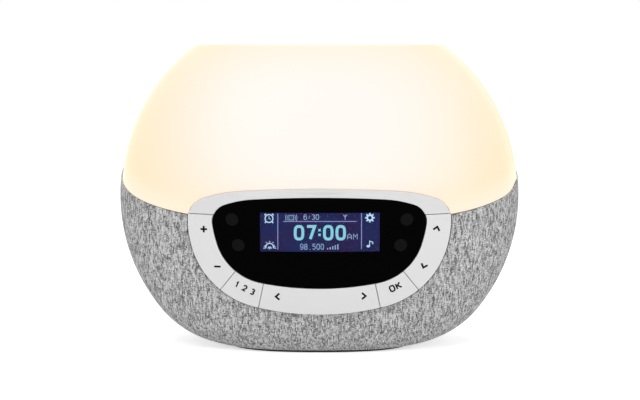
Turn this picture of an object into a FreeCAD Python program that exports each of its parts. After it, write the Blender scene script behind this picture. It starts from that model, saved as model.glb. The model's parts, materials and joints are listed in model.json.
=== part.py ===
"""Sunrise alarm clock: an opal dome over a fabric-covered bowl, with a D-shaped control pod in front.

Millimetres, +Z up, the front faces -Y, and the origin is at the middle of the footprint.
Every size is a cell of the sheet "Sizes". The body and the pod are described by tangent arcs:
a level section of the body is a superellipse whose half width and half depth follow those arcs.
"""
import FreeCAD, Part
import math
import os

import Sketcher

VECTOR = FreeCAD.Vector
UP = VECTOR(0, 0, 1)
BACKWARDS = VECTOR(0, 1, 0)
ORIGIN = VECTOR(0, 0, 0)

CELLS = {
    # the body's outer form, which is the outside of the fabric
    "body_half_width": 106.6,
    "body_half_depth": 61.5,
    "body_squareness": 2.4,
    "widest_level": 79.8,
    "top_level": 160.4,
    "upper_arc": 103.2,
    "upper_arc_rise": 53.7,
    "shoulder_arc": 95.0,
    "lower_arc": 96.1,
    "lower_arc_drop": 60.0,
    "foot_arc": 50.0,
    "foot_turn": 83.0,
    "depth_arc": 152.0,
    "centre_shift": 2.1,
    # the seam between dome and fabric is a tilted plane, low in front
    "rim_level": 93.1,
    "rim_tilt": 20.9,
    "rim_gap": 0.2,
    # walls, measured inwards from the outer form
    "fabric_thickness": 0.85,
    "shell_outside": 0.9,
    "shell_wall": 2.4,
    "dome_outside": 0.8,
    "dome_wall": 2.2,
    "dome_top_rounding": 3.0,
    "spigot_outside": 3.6,
    "spigot_wall": 1.4,
    "spigot_depth": 4.6,
    # the foot
    "foot_half_width": 49.5,
    "foot_half_depth": 38.2,
    "foot_pad_height": 0.9,
    "foot_pad_inset": 1.8,
    "foot_pad_inner_half_width": 32.0,
    "foot_pad_inner_half_depth": 24.5,
    "hatch_half_width": 30.0,
    "hatch_half_depth": 23.0,
    "hatch_plug_height": 4.1,
    "base_screw_x": 36.0,
    "base_screw_y": 21.0,
    "base_boss_top": 13.0,
    # the pod's outline, seen from the front
    "pod_top": 87.2,
    "pod_half_width": 67.3,
    "pod_side_level": 71.15,
    "pod_crown_arc": 620.0,
    "pod_crown_turn": 3.75,
    "pod_brow_arc": 72.5,
    "pod_side_arc": 53.9,
    "pod_side_turn": 6.9,
    "pod_flank_arc": 51.3,
    "pod_flank_turn": 10.6,
    "pod_corner_arc": 43.7,
    "pod_corner_turn": 59.2,
    # the window's outline
    "window_top": 83.2,
    "window_crown_arc": 520.0,
    "window_crown_turn": 3.7,
    "window_brow_arc": 55.4,
    "window_brow_turn": 15.7,
    "window_shoulder_arc": 9.1,
    "window_shoulder_turn": 79.1,
    "window_flank_arc": 67.7,
    "window_flank_turn": 9.1,
    "window_corner_arc": 28.8,
    "window_corner_turn": 62.1,
    "window_thickness": 2.2,
    "window_recess": 0.2,
    # the pod's crowned face
    "face_front": 66.5,
    "face_level": 84.0,
    "face_upright_arc": 150.0,
    "face_level_arc": 190.0,
    # the pod's layers, measured inwards from that face
    "cap_thickness": 2.4,
    "cap_skirt_end": 3.9,
    "cap_skirt_wall": 1.2,
    "shelf_front": 3.3,
    "shelf_back": 5.3,
    "frame_inset": 1.6,
    "frame_wall": 1.8,
    "hood_wall": 3.0,
    "hood_back": 50.0,
    "seat_width": 3.0,
    "pod_split": 42.0,
    "pod_rear": 33.0,
    "pod_clearance": 0.4,
    "key_gap": 0.36,
    "lip_drop": 3.2,
    "flange_width": 3.0,
    # where one key ends and the next begins
    "hood_gap_x": 60.1,
    "hood_gap_z": 74.25,
    "hood_gap_angle": -1.2,
    "rocker_gap_x": 46.9,
    "rocker_gap_z": 39.9,
    "rocker_gap_angle": 51.4,
    "preset_gap_x": 29.9,
    "preset_gap_z": 32.2,
    "preset_gap_angle": 77.9,
    # switches behind the keys
    "side_switch_top_x": 59.2,
    "side_switch_top_z": 66.6,
    "side_switch_low_x": 52.6,
    "side_switch_low_z": 47.3,
    "bottom_switch_x": 21.9,
    "bottom_switch_z": 32.0,
    "preset_switch_x": 38.5,
    "preset_switch_z": 36.2,
    "bottom_pivot_z": 31.6,
    "stem_radius": 2.0,
    "stem_clearance": 0.6,
    "stem_end": 48.4,
    "switch_side": 6.0,
    "switch_corner_radius": 3.65,
    "switch_height": 3.1,
    "switch_bore": 2.05,
    "switch_bore_depth": 2.5,
    "plunger_radius": 1.5,
    "plunger_length": 2.1,
    "pivot_rib_length": 8.0,
    "pivot_rib_width": 1.2,
    "pivot_rib_clearance": 0.05,
    # the four round buttons in the window
    "upper_button_x": 44.4,
    "upper_button_z": 71.8,
    "lower_button_x": 41.3,
    "lower_button_z": 58.65,
    "button_radius": 3.25,
    "button_hole_radius": 3.6,
    "button_flange_radius": 4.3,
    "button_flange_thickness": 0.9,
    "button_recess": 0.35,
    # the display and its board
    "display_z": 65.5,
    "glass_width": 66.0,
    "glass_height": 26.0,
    "glass_thickness": 2.4,
    "glass_front": 57.3,
    "backlight_thickness": 3.0,
    "holder_width": 70.0,
    "holder_height": 30.0,
    "holder_depth": 7.6,
    "holder_leg_radius": 1.6,
    "board_thickness": 1.6,
    "board_front": 43.8,
    "board_inset": 4.2,
    "pod_boss_radius": 2.7,
    "pod_boss_side_x": 56.4,
    "pod_boss_side_z": 57.0,
    "pod_boss_top_x": 49.5,
    "pod_boss_top_z": 77.0,
    "pod_boss_low_z": 31.6,
    # the light engine
    "deck_top": 5.2,
    "deck_thickness": 2.0,
    "deck_half_width": 101.8,
    "deck_half_length": 59.3,
    "deck_middle": -14.76,
    "deck_column_radius": 5.8,
    "deck_column_length": 15.0,
    "deck_column_side_x": 98.5,
    "deck_column_back_x": 44.0,
    "deck_column_back_y": 47.0,
    "led_y": 12.0,
    "led_board_radius": 34.0,
    "led_board_thickness": 1.6,
    "led_side": 3.0,
    "led_height": 0.9,
    "led_outer_ring": 26.0,
    "led_inner_ring": 13.0,
    "led_screw_x": 20.0,
    "sink_width": 58.0,
    "sink_length": 40.0,
    "sink_plate": 3.0,
    "sink_fin": 1.8,
    "sink_fin_height": 9.0,
    # the rear panel
    "rear_half_width": 56.0,
    "rear_half_height": 28.0,
    "rear_level": 50.0,
    "rear_squareness": 3.2,
    "rear_lip": 0.8,
    "rear_lip_width": 2.8,
    "rear_plug": 1.8,
    "rear_screw_x": 48.0,
    "rear_screw_z": 13.5,
    "rear_lug_side": 10.0,
    "rear_lug_back": 6.0,
    "grille_radius": 20.0,
    "grille_slot": 2.2,
    "grille_pitch": 4.4,
    "speaker_z": 52.0,
    "speaker_radius": 25.0,
    "speaker_front": 49.8,
    "speaker_flange": 1.2,
    "speaker_depth": 10.0,
    "speaker_post_radius": 2.6,
    "speaker_post_circle": 22.6,
    "cone_radius": 19.0,
    "magnet_radius": 14.0,
    "magnet_height": 8.0,
    "socket_x": 36.0,
    "socket_z": 38.0,
    "socket_width": 11.0,
    "socket_height": 11.0,
    "socket_barrel_radius": 4.2,
    "socket_bore_radius": 2.85,
    "socket_bore_depth": 9.5,
    "socket_pin_radius": 1.0,
    "bush_radius": 3.6,
    "bush_bore_radius": 1.1,
    "bush_collar": 0.9,
    "bush_neck": 5.0,
    "power_board_width": 24.0,
    "power_board_height": 28.0,
    "power_board_front": 40.0,
    "supply_post_radius": 2.2,
    "supply_pin_radius": 1.1,
    "supply_pin_length": 2.4,
    # fasteners
    "screw_head_radius": 2.6,
    "screw_head_height": 1.6,
    "screw_radius": 1.2,
    "screw_hole_radius": 1.3,
    "screw_length": 8.0,
    "pod_screw_length": 17.0,
}

document = FreeCAD.newDocument("SunriseAlarmClock")
sheet = document.addObject("Spreadsheet::Sheet", "Sizes")
for row, (alias, value) in enumerate(CELLS.items(), start=1):
    sheet.set("A%d" % row, alias.replace("_", " "))
    sheet.set("B%d" % row, str(value))
    sheet.setAlias("B%d" % row, alias)
document.recompute()

sub_parts = []


def size(alias):
    """The number in the cell of that name."""
    return float(sheet.get(alias))


def centred(thing, place):
    """Puts a sub-part at a place: the body's own middle lies a little behind the footprint's."""
    thing.Placement = place
    thing.setExpression("Placement.Base.y", "Sizes.centre_shift + %.6f" % place.Base.y)


def moulded(label, shape, place=None):
    """A sub-part whose surfaces are worked out from the sheet."""
    feature = document.addObject("Part::Feature", label)
    feature.Label = label
    feature.Shape = shape
    centred(feature, place or FreeCAD.Placement())
    sub_parts.append(feature)
    return feature


def joined(shapes):
    """One solid from several that overlap."""
    return shapes[0].multiFuse(list(shapes[1:]))


def drilled(shape, tools):
    """The shape with every tool cut away."""
    return shape.cut(Part.makeCompound(list(tools))) if tools else shape


def rod(x, y, z, radius, length, direction=BACKWARDS):
    """A round bar that starts at a point and runs along a direction."""
    return Part.makeCylinder(radius, length, VECTOR(x, y, z), direction)


def block(x, y, z, width, depth, height):
    """A block given by the middle of its front lower edge."""
    return Part.makeBox(width, depth, height, VECTOR(x - width / 2, y, z))


# The body's form: level superellipses that follow arcs up the front and the side.


def arc_drop(distance, radius):
    """How far an arc has fallen away from its tangent at that distance."""
    return radius - math.sqrt(radius**2 - distance**2)


def body_half_width(level, inset):
    """Half width of the form moved in by inset: two tangent arcs above the widest level, two below."""
    above = level >= size("widest_level")
    first = size("upper_arc") if above else size("lower_arc")
    second = size("shoulder_arc") if above else size("foot_arc")
    span = size("upper_arc_rise") if above else size("lower_arc_drop")
    reach = abs(level - size("widest_level"))
    handover = math.asin(span / first)
    if reach <= (first - inset) * math.sin(handover):
        return size("body_half_width") - inset - arc_drop(reach, first - inset)
    centre_x = size("body_half_width") - first + (first - second) * math.cos(handover)
    centre_reach = (first - second) * math.sin(handover)
    return centre_x + math.sqrt((second - inset) ** 2 - (reach - centre_reach) ** 2)


def body_half_depth(level, inset):
    """Half depth of the form moved in by inset: one arc up the front and the back."""
    reach = level - size("widest_level")
    return size("body_half_depth") - inset - arc_drop(reach, size("depth_arc") - inset)


def superellipse(half_x, half_y, squareness, level):
    """A closed level outline of four spline quadrants, each at right angles to the axes it meets. Its
    points lie at even turns about the middle, on |x / half_x|^n + |y / half_y|^n = 1."""
    shares = [step / 8 for step in range(9)]
    edges = []
    for sign_x, sign_y in ((1, 1), (-1, 1), (-1, -1), (1, -1)):
        from_side = sign_x == sign_y
        points = []
        for share in shares if from_side else reversed(shares):
            along = math.sin(math.pi / 2 * share)
            across = math.cos(math.pi / 2 * share) if share < 1 else 0.0
            reach = (across**squareness + along**squareness) ** (-1 / squareness)
            points.append(VECTOR(sign_x * half_x * reach * across, sign_y * half_y * reach * along, level))
        start = VECTOR(0, sign_y, 0) if from_side else VECTOR(sign_x, 0, 0)
        end = VECTOR(-sign_x, 0, 0) if from_side else VECTOR(0, -sign_y, 0)
        curve = Part.BSplineCurve()
        curve.interpolate(Points=points, InitialTangent=start, FinalTangent=end, Parameters=shares)
        edges.append(curve.toShape())
    return Part.Wire(edges)


def form_levels(inset, top):
    """The levels of the form's sections, close together where the foot's arc turns under."""
    widest = size("widest_level")
    first = size("lower_arc")
    second = size("foot_arc")
    handover = math.degrees(math.asin(size("lower_arc_drop") / first))
    centre = (first - second) * math.sin(math.radians(handover))
    levels = []
    for share in (1.0, 0.8, 0.55, 0.3, 0.0):
        turn = math.radians(handover + share * (size("foot_turn") - handover))
        levels.append(widest - centre - (second - inset) * math.sin(turn))
    levels += [widest - 40, widest - 20, widest]
    levels += [widest + share * (top - widest) for share in (0.25, 0.5, 0.7, 0.86, 1.0)]
    return levels


def body_form(inset, top=None):
    """The body's form moved in by inset, as one closed solid with a flat top and foot."""
    top = size("top_level") if top is None else top
    wires = []
    for level in form_levels(inset, top):
        half_x = body_half_width(level, inset)
        half_y = body_half_depth(level, inset)
        wires.append(superellipse(half_x, half_y, size("body_squareness"), level))
    return Part.makeLoft(wires, True, False)


def rim_block(lift, above):
    """A block with one face on the rim plane raised by lift, on its upper or its lower side."""
    reach = 400.0
    start = lift if above else lift - reach
    piece = Part.makeBox(reach, reach, reach, VECTOR(-reach / 2, -reach / 2, start))
    piece.rotate(ORIGIN, VECTOR(1, 0, 0), size("rim_tilt"))
    piece.translate(VECTOR(0, 0, size("rim_level")))
    return piece


def rim_height(y, lift):
    """The level of the rim plane, raised by lift at right angles to it, at that depth."""
    tilt = math.radians(size("rim_tilt"))
    return size("rim_level") + y * math.tan(tilt) + lift / math.cos(tilt)


def rim_normal():
    """The upward direction at right angles to the rim plane."""
    tilt = math.radians(size("rim_tilt"))
    return VECTOR(0, -math.sin(tilt), math.cos(tilt))


# The pod: outlines of tangent arcs seen from the front, and a crowned face.


def arc_chain(top, arcs, depth):
    """A closed outline of tangent arcs, mirrored left and right, from the top middle to the bottom
    middle. Each arc is (radius, turn in degrees), and the last one's radius closes the outline."""
    corners = [(0.0, top)]
    middles = []
    turned = 0.0
    for number, (radius, turn) in enumerate(arcs):
        x, z = corners[-1]
        end = turned + math.radians(turn)
        if number == len(arcs) - 1:
            end = math.pi
            radius = x / math.sin(turned)
        for turn_now, chain in (((turned + end) / 2, middles), (end, corners)):
            chain.append((x + radius * (math.sin(turn_now) - math.sin(turned)),
                          z + radius * (math.cos(turn_now) - math.cos(turned))))
        turned = end
    corners += [(-x, z) for x, z in reversed(corners[1:-1])] + [corners[0]]
    middles += [(-x, z) for x, z in reversed(middles)]
    edges = []
    for number, middle in enumerate(middles):
        three = [VECTOR(x, depth, z) for x, z in (corners[number], middle, corners[number + 1])]
        edges.append(Part.Arc(*three).toShape())
    return Part.Wire(edges)


def pod_arcs(inset, drop):
    """The pod's arcs moved in by inset. A drop lowers the crown, and the brow arc turns further, so that
    the shoulder arc after it still ends on the upright side line at its own level."""
    crown = size("pod_crown_arc")
    brow = size("pod_brow_arc")
    start = math.radians(size("pod_crown_turn"))
    least, most = 0.0, math.pi / 2 - start
    while most - least > 1e-9:
        turn = (least + most) / 2
        heading = start + turn
        x = crown * math.sin(start) + brow * (math.sin(heading) - math.sin(start))
        fall = crown * (1 - math.cos(start)) + brow * (math.cos(start) - math.cos(heading))
        shoulder = (size("pod_half_width") - x) / (1 - math.sin(heading))
        if size("pod_top") - drop - fall - shoulder * math.cos(heading) < size("pod_side_level"):
            least = turn
        else:
            most = turn
    names = ("side", "flank", "corner")
    sides = [(size("pod_%s_arc" % name) - inset, size("pod_%s_turn" % name)) for name in names]
    top = [(crown - inset, math.degrees(start)), (brow - inset, math.degrees(turn)),
           (shoulder - inset, 90 - math.degrees(heading))]
    return top + sides + [(0, 0)]


def pod_outline(inset, depth, drop=0.0):
    """The pod's outline moved in by inset, at that depth."""
    return arc_chain(size("pod_top") - drop - inset, pod_arcs(inset, drop), depth)


def window_outline(inset, depth):
    """The window's outline moved in by inset, at that depth."""
    names = ("crown", "brow", "shoulder", "flank", "corner")
    arcs = [(size("window_%s_arc" % name) - inset, size("window_%s_turn" % name)) for name in names]
    return arc_chain(size("window_top") - inset, arcs + [(0, 0)], depth)


def prism(outline, inset, front, back):
    """An outline carried straight back from one depth to another."""
    return Part.Face(outline(inset, front)).extrude(VECTOR(0, back - front, 0))


def face_depth(x, level, inset):
    """The y of the crowned face moved in by inset."""
    upright = size("face_upright_arc")
    axis = size("face_level_arc") - size("face_front")
    profile = upright - size("face_front") - math.sqrt((upright - inset) ** 2 - (level - size("face_level")) ** 2)
    return axis - math.sqrt((axis - profile) ** 2 - x**2)


def behind_face(inset, margin=0.0):
    """All that lies behind the crowned face moved in by inset: a loft through its level arcs. The
    margin makes the block larger everywhere else."""
    half_turn = math.radians(26.0)
    side = 90.0 + margin
    back = 10.0 + margin
    low = 8.0 - margin
    high = 104.0 + margin
    axis = size("face_level_arc") - size("face_front")
    wires = []
    for step in range(5):
        level = low + (high - low) * step / 4
        front = face_depth(0, level, inset)
        radius = axis - front
        x = radius * math.sin(half_turn)
        y = axis - radius * math.cos(half_turn)
        arc = Part.Arc(VECTOR(-x, y, level), VECTOR(0, front, level), VECTOR(x, y, level)).toShape()
        rest = Part.makePolygon([VECTOR(x, y, level), VECTOR(side, back, level),
                                 VECTOR(-side, back, level), VECTOR(-x, y, level)])
        wires.append(Part.Wire([arc] + rest.Edges))
    return Part.makeLoft(wires, True, False)


def layer(outer, inner):
    """The pod's layer between two insets of the crowned face."""
    return behind_face(outer).cut(behind_face(inner, 5.0))


def gap_side(name, mirror, keep):
    """A block on one side of a gap line, half a gap away from it. keep is 1 for the side that the
    gap's upward normal points to and -1 for the other."""
    reach = 160.0
    piece = Part.makeBox(2 * reach, reach, reach, VECTOR(-reach, -reach, size("key_gap") / 2))
    if keep < 0:
        piece.rotate(ORIGIN, BACKWARDS, 180)
    piece.rotate(ORIGIN, BACKWARDS, size(name + "_angle") * mirror)
    piece.translate(VECTOR(mirror * size(name + "_x"), 0, size(name + "_z")))
    return piece


POD_FRONT = -80.0
POD_BACK = -10.0


def pod_bar(inset):
    """The pod's outline moved in by inset, as a bar from front to back."""
    return prism(pod_outline, inset, POD_FRONT, POD_BACK)


def window_bar(inset):
    """The window's outline moved in by inset, as a bar from front to back."""
    return prism(window_outline, inset, POD_FRONT, POD_BACK)


def switch_places():
    """Where each key's switches sit, as (x, z): two behind a rocker and one behind a key."""
    top = (size("side_switch_top_x"), size("side_switch_top_z"))
    low = (size("side_switch_low_x"), size("side_switch_low_z"))
    preset = (size("preset_switch_x"), size("preset_switch_z"))
    bottom = (size("bottom_switch_x"), size("bottom_switch_z"))
    upper = (size("upper_button_x"), size("upper_button_z"))
    lower = (size("lower_button_x"), size("lower_button_z"))
    return {
        "left_rocker": [(-top[0], top[1]), (-low[0], low[1])],
        "right_rocker": [top, low],
        "bottom_rocker": [(-bottom[0], bottom[1]), bottom],
        "preset": [(-preset[0], preset[1])],
        "select": [preset],
        "upper_left": [(-upper[0], upper[1])],
        "lower_left": [(-lower[0], lower[1])],
        "upper_right": [upper],
        "lower_right": [lower],
    }


def pod_boss_places():
    """Where the pod's five screws go through board and frame, as (x, z)."""
    side = (size("pod_boss_side_x"), size("pod_boss_side_z"))
    top = (size("pod_boss_top_x"), size("pod_boss_top_z"))
    return [(-side[0], side[1]), side, (-top[0], top[1]), top, (0.0, size("pod_boss_low_z"))]


def screw(head, length):
    """One screw: a pan head with a bevelled rim on the origin plane and a shank below it."""
    height = size("screw_head_height")
    rim = 0.6 * height
    disc = Part.makeCylinder(head, rim)
    bevel = Part.makeCone(head, head - 0.9, height - rim, VECTOR(0, 0, rim))
    shank = Part.makeCylinder(size("screw_radius"), length + 0.2, VECTOR(0, 0, -length))
    return joined([disc, bevel, shank])


def screws(label, places, direction, length):
    """A group of equal screws. Each place is the middle of the face that its head sits on."""
    turned = FreeCAD.Rotation(UP, VECTOR(*direction) * -1)
    group = []
    for place in places:
        one = screw(size("screw_head_radius"), length)
        one.Placement = FreeCAD.Placement(VECTOR(*place), turned)
        group.append(one)
    return moulded(label, Part.makeCompound(group))


# The housing.


def make_dome():
    """The opal dome: a shell with a flat, round-edged top and a spigot that drops into the bowl."""
    outer = body_form(size("dome_outside"))
    top_edges = [edge for edge in outer.Edges
                 if min(v.Point.z for v in edge.Vertexes) > size("top_level") - 0.01]
    outer = outer.makeFillet(size("dome_top_rounding"), top_edges)
    inner = body_form(size("dome_outside") + size("dome_wall"), size("top_level") - size("dome_wall"))
    wall = outer.cut(inner).common(rim_block(size("rim_gap"), True))
    spigot = body_form(size("spigot_outside")).cut(body_form(size("spigot_outside") + size("spigot_wall")))
    spigot = spigot.common(rim_block(-size("spigot_depth"), True)).common(rim_block(3.0, False))
    bridge = body_form(size("dome_outside") + 1.0).cut(body_form(size("spigot_outside") + size("spigot_wall")))
    bridge = bridge.common(rim_block(size("rim_gap"), True)).common(rim_block(3.0, False))
    dome = joined([wall, bridge, spigot])
    notch = prism(pod_outline, -size("pod_clearance"), POD_FRONT, -30.0)
    return moulded("diffuser_dome", dome.cut(notch))


def rear_bar(inset):
    """The rear panel's outline moved in by inset, as a bar through the back."""
    outline = superellipse(size("rear_half_width") - inset, size("rear_half_height") - inset,
                           size("rear_squareness"), 0)
    outline.rotate(ORIGIN, VECTOR(1, 0, 0), 90)
    outline.translate(VECTOR(0, 30, size("rear_level")))
    return Part.Face(outline).extrude(VECTOR(0, 50, 0))


def rear_screw_places():
    """The rear panel's four screws as (x, z)."""
    return [(x, size("rear_level") + z)
            for x in (-size("rear_screw_x"), size("rear_screw_x"))
            for z in (-size("rear_screw_z"), size("rear_screw_z"))]


def deck_column_places():
    """The four columns under the reflector deck as (x, y)."""
    side = size("deck_column_side_x")
    back = (size("deck_column_back_x"), size("deck_column_back_y"))
    return [(-side, 0.0), (side, 0.0), (-back[0], back[1]), back]


def deck_screw_holes(radius):
    """Bores of that radius for the deck's four screws, at right angles to the rim plane."""
    above = rim_normal() * 3
    bores = []
    for x, y in deck_column_places():
        start = VECTOR(x, y, rim_height(y, -size("deck_top"))) + above
        bores.append(Part.makeCylinder(radius, size("screw_length") + 4, start, rim_normal() * -1))
    return bores


def base_screw_places():
    """The four screws of the base plate as (x, y)."""
    return [(x, y) for x in (-size("base_screw_x"), size("base_screw_x"))
            for y in (-size("base_screw_y"), size("base_screw_y"))]


def make_base_shell():
    """The bowl: a moulded shell with columns for the deck, bosses for the base and lugs for the rear panel."""
    outside = size("shell_outside")
    inside = outside + size("shell_wall")
    skin = body_form(outside)
    hollow = body_form(inside)
    shell = skin.cut(hollow)
    below_deck = rim_block(-size("deck_top") - size("deck_thickness"), False)
    columns = []
    holes = deck_screw_holes(size("screw_hole_radius"))
    for x, y in deck_column_places():
        top = rim_height(y, 0)
        columns.append(rod(x, y, top - 10 - size("deck_column_length"), size("deck_column_radius"), 40, UP))
    columns = Part.makeCompound(columns).common(below_deck)
    bosses = [rod(x, y, 3.4, 3.8, size("base_boss_top") - 3.4, UP) for x, y in base_screw_places()]
    holes += [rod(x, y, 0, size("screw_hole_radius"), 11, UP) for x, y in base_screw_places()]
    half_lug = size("rear_lug_side") / 2
    lug_layer = body_form(size("rear_plug") + 0.1).cut(body_form(size("rear_lug_back")))
    lugs = []
    for x, z in rear_screw_places():
        outwards = math.copysign(1, x)
        middle = x + outwards * 2
        piece = Part.makeBox(size("rear_lug_side") + 6, 40, 2 * half_lug,
                             VECTOR(middle - half_lug - 3, 30, z - half_lug))
        lugs.append(piece.common(lug_layer))
        holes.append(rod(x, 40, z, size("screw_hole_radius"), 30))
    opening = [prism(pod_outline, -size("pod_clearance"), POD_FRONT, -30.0),
               rear_bar(size("rear_lip_width") - 0.4)]
    shell = shell.common(rim_block(-size("rim_gap"), False))
    hatch = superellipse(size("hatch_half_width"), size("hatch_half_depth"), size("body_squareness"), 0)
    opening.append(Part.Face(hatch).extrude(VECTOR(0, 0, 12)))
    shell = drilled(shell, opening)
    grown = joined([shell] + columns.common(skin).Solids + bosses + lugs)
    return moulded("base_shell", drilled(grown, holes))


def make_fabric():
    """The woven cover: it lies on the bowl, ends at the rim and is trapped under the base plate."""
    cover = body_form(0.0).cut(body_form(size("fabric_thickness")))
    cover = cover.common(rim_block(-size("rim_gap"), False))
    foot = superellipse(size("foot_half_width") + 0.3, size("foot_half_depth") + 0.3, size("body_squareness"), 0)
    openings = [prism(pod_outline, -size("pod_clearance"), POD_FRONT, -30.0),
                rear_bar(size("rear_lip_width") - 0.4),
                Part.Face(foot).extrude(VECTOR(0, 0, 2.6))]
    return moulded("fabric_sleeve", drilled(cover, openings))


def foot_slab(half_x, half_y, low, high):
    """A level slab with the foot's outline."""
    outline = superellipse(half_x, half_y, size("body_squareness"), low)
    return Part.Face(outline).extrude(VECTOR(0, 0, high - low))


def make_base():
    """The base plate with its hatch plug, the rubber foot ring under it, and four screws between them."""
    low = size("foot_pad_height")
    floor = form_levels(size("shell_outside"), size("top_level"))[0]
    plate = foot_slab(size("foot_half_width"), size("foot_half_depth"), low, floor - 0.05)
    plug = foot_slab(size("hatch_half_width") - 0.4, size("hatch_half_depth") - 0.4, low, size("hatch_plug_height"))
    cups = []
    for x, y in base_screw_places():
        cups.append(rod(x, y, 0, 1.6, 10, UP))
        cups.append(Part.makeCone(2.8, 1.4, 1.2, VECTOR(x, y, low), UP))
    moulded("base_plate", drilled(joined([plate, plug]), cups))
    inset = size("foot_pad_inset")
    ring = foot_slab(size("foot_half_width") - inset, size("foot_half_depth") - inset, 0, low)
    hole = foot_slab(size("foot_pad_inner_half_width"), size("foot_pad_inner_half_depth"), 0, low)
    moulded("foot_ring", ring.cut(hole))
    group = []
    for x, y in base_screw_places():
        head = Part.makeCone(2.7, 1.2, 1.1, VECTOR(x, y, low + 0.05), UP)
        group.append(head.fuse(rod(x, y, low + 1.0, size("screw_radius"), size("screw_length"), UP)))
    moulded("base_screws", Part.makeCompound(group))


# The pod.


def cove():
    """The space inside the hood's cove: the lip's outline grows back into the pod's own outline."""
    drop = size("lip_drop")
    stations = ((POD_FRONT, 1.0), (-66.3, 1.0), (-64.6, 0.93), (-63.3, 0.72), (-62.4, 0.4), (-61.9, 0.0))
    wires = [pod_outline(0.0, depth, drop * share) for depth, share in stations]
    front = Part.makeLoft(wires, True, False)
    return front.fuse(prism(pod_outline, 0.0, -61.9, POD_BACK))


def make_frame():
    """The moulded frame: hood, shelf behind the keys, seat round the window, skirt, flange and bosses."""
    inset = size("frame_inset")
    above = Part.makeBox(300, 100, 60, VECTOR(-150, -90, size("hood_gap_z") + 30))
    above = gap_side("hood_gap", -1, 1).common(gap_side("hood_gap", 1, 1)).fuse(above)
    hood_face = layer(0.0, 4.2).common(pod_bar(0.0)).cut(window_bar(-0.15)).common(above)
    hood_wall = pod_bar(0.0).cut(pod_bar(size("hood_wall"))).common(behind_face(0.0)).common(above)
    hood_wall = hood_wall.common(Part.makeBox(300, 90 - size("hood_back"), 300, VECTOR(-150, -90, 0)))
    hood = hood_face.fuse(hood_wall).common(cove())
    shelf = layer(size("shelf_front"), size("shelf_back")).common(pod_bar(inset)).cut(window_bar(size("seat_width")))
    seat_front = size("window_recess") + size("window_thickness") + 0.05
    seat = layer(seat_front, size("shelf_front") + 0.5).common(window_bar(0.0)).cut(window_bar(size("seat_width")))
    skirt = pod_bar(inset).cut(pod_bar(inset + size("frame_wall"))).common(behind_face(size("shelf_front")))
    front_of_split = Part.makeBox(300, 90 - size("pod_split"), 300, VECTOR(-150, -90, 0))
    skirt = skirt.common(front_of_split)
    flange_front = size("shell_outside") + size("shell_wall") + 0.35
    flange = body_form(flange_front).cut(body_form(flange_front + 1.6))
    flange = flange.common(pod_bar(-size("flange_width"))).cut(pod_bar(inset + 0.8))
    flange = flange.common(rim_block(-size("deck_top") - size("deck_thickness") - 0.6, False))
    flange = flange.common(front_of_split)
    bosses = []
    holes = []
    for x, z in pod_boss_places():
        front = face_depth(x, z, size("shelf_back") - 0.6)
        bosses.append(rod(x, front, z, size("pod_boss_radius"), -size("board_front") - front))
        holes.append(rod(x, -size("board_front") - 9, z, size("screw_hole_radius"), 20))
    for places in switch_places().values():
        for x, z in places:
            holes.append(rod(x, POD_FRONT, z, size("stem_radius") + size("stem_clearance"), 60))
    solid = joined([shelf, hood, seat, skirt, flange] + bosses)
    keep = pod_bar(-size("flange_width") - 1)
    moulded("panel_frame", drilled(solid, holes).common(keep))


def make_window():
    """The smoked lens: it follows the crowned face and has four round holes for the buttons."""
    recess = size("window_recess")
    lens = layer(recess, recess + size("window_thickness")).common(window_bar(0.0))
    names = ("upper_left", "lower_left", "upper_right", "lower_right")
    holes = [rod(x, POD_FRONT, z, size("button_hole_radius"), 60)
             for name in names for x, z in switch_places()[name]]
    return moulded("display_window", drilled(lens, holes))


def cap_blank():
    """The D ring that the five keys are cut from: a crowned plate with a skirt along its outer edge."""
    plate = layer(0.0, size("cap_thickness")).common(pod_bar(0.0)).cut(window_bar(-0.35))
    skirt = layer(size("cap_thickness") - 0.3, size("cap_skirt_end")).common(pod_bar(0.0))
    return plate.fuse(skirt.cut(pod_bar(size("cap_skirt_wall"))))


def pivot_of(places):
    """A rocker's pivot: the point midway between its switches and the direction across the band."""
    (x1, z1), (x2, z2) = places
    length = math.hypot(x2 - x1, z2 - z1)
    across = ((z1 - z2) / length, (x2 - x1) / length)
    return ((x1 + x2) / 2, (z1 + z2) / 2), across


def pivot_rib(places):
    """The rib under a rocker that stands on the shelf along the pivot line."""
    (x, z), (across_x, across_z) = pivot_of(places)
    length = size("pivot_rib_length")
    width = size("pivot_rib_width")
    bar = Part.makeBox(length, 60, width, VECTOR(-length / 2, -80, -width / 2))
    bar.rotate(ORIGIN, BACKWARDS, -math.degrees(math.atan2(across_z, across_x)))
    bar.translate(VECTOR(x, 0, z))
    bar = bar.common(layer(size("cap_thickness") - 0.3, size("shelf_front") - size("pivot_rib_clearance")))
    return bar.common(pod_bar(size("cap_skirt_wall"))).cut(window_bar(-0.5))


def make_key(name, blank, sides, rocks):
    """One key cap, with a stem for each of its switches, and a plunger under each stem."""
    cap = blank
    for side in sides:
        cap = cap.common(side)
    places = switch_places()[name]
    back = -size("stem_end")
    pieces = [cap]
    for x, z in places:
        front = face_depth(x, z, size("cap_thickness") - 0.4)
        pieces.append(rod(x, front, z, size("stem_radius"), back - front))
    if rocks:
        pieces.append(pivot_rib(places))
    moulded(name + "_key", joined(pieces))
    make_plungers(name)


def make_plungers(name):
    """The switch plungers under a key or button. They rest in their switches' bores."""
    rods = [rod(x, -size("stem_end"), z, size("plunger_radius"), size("plunger_length"))
            for x, z in switch_places()[name]]
    moulded(name + ("_plungers" if len(rods) > 1 else "_plunger"), Part.makeCompound(rods))


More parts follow.
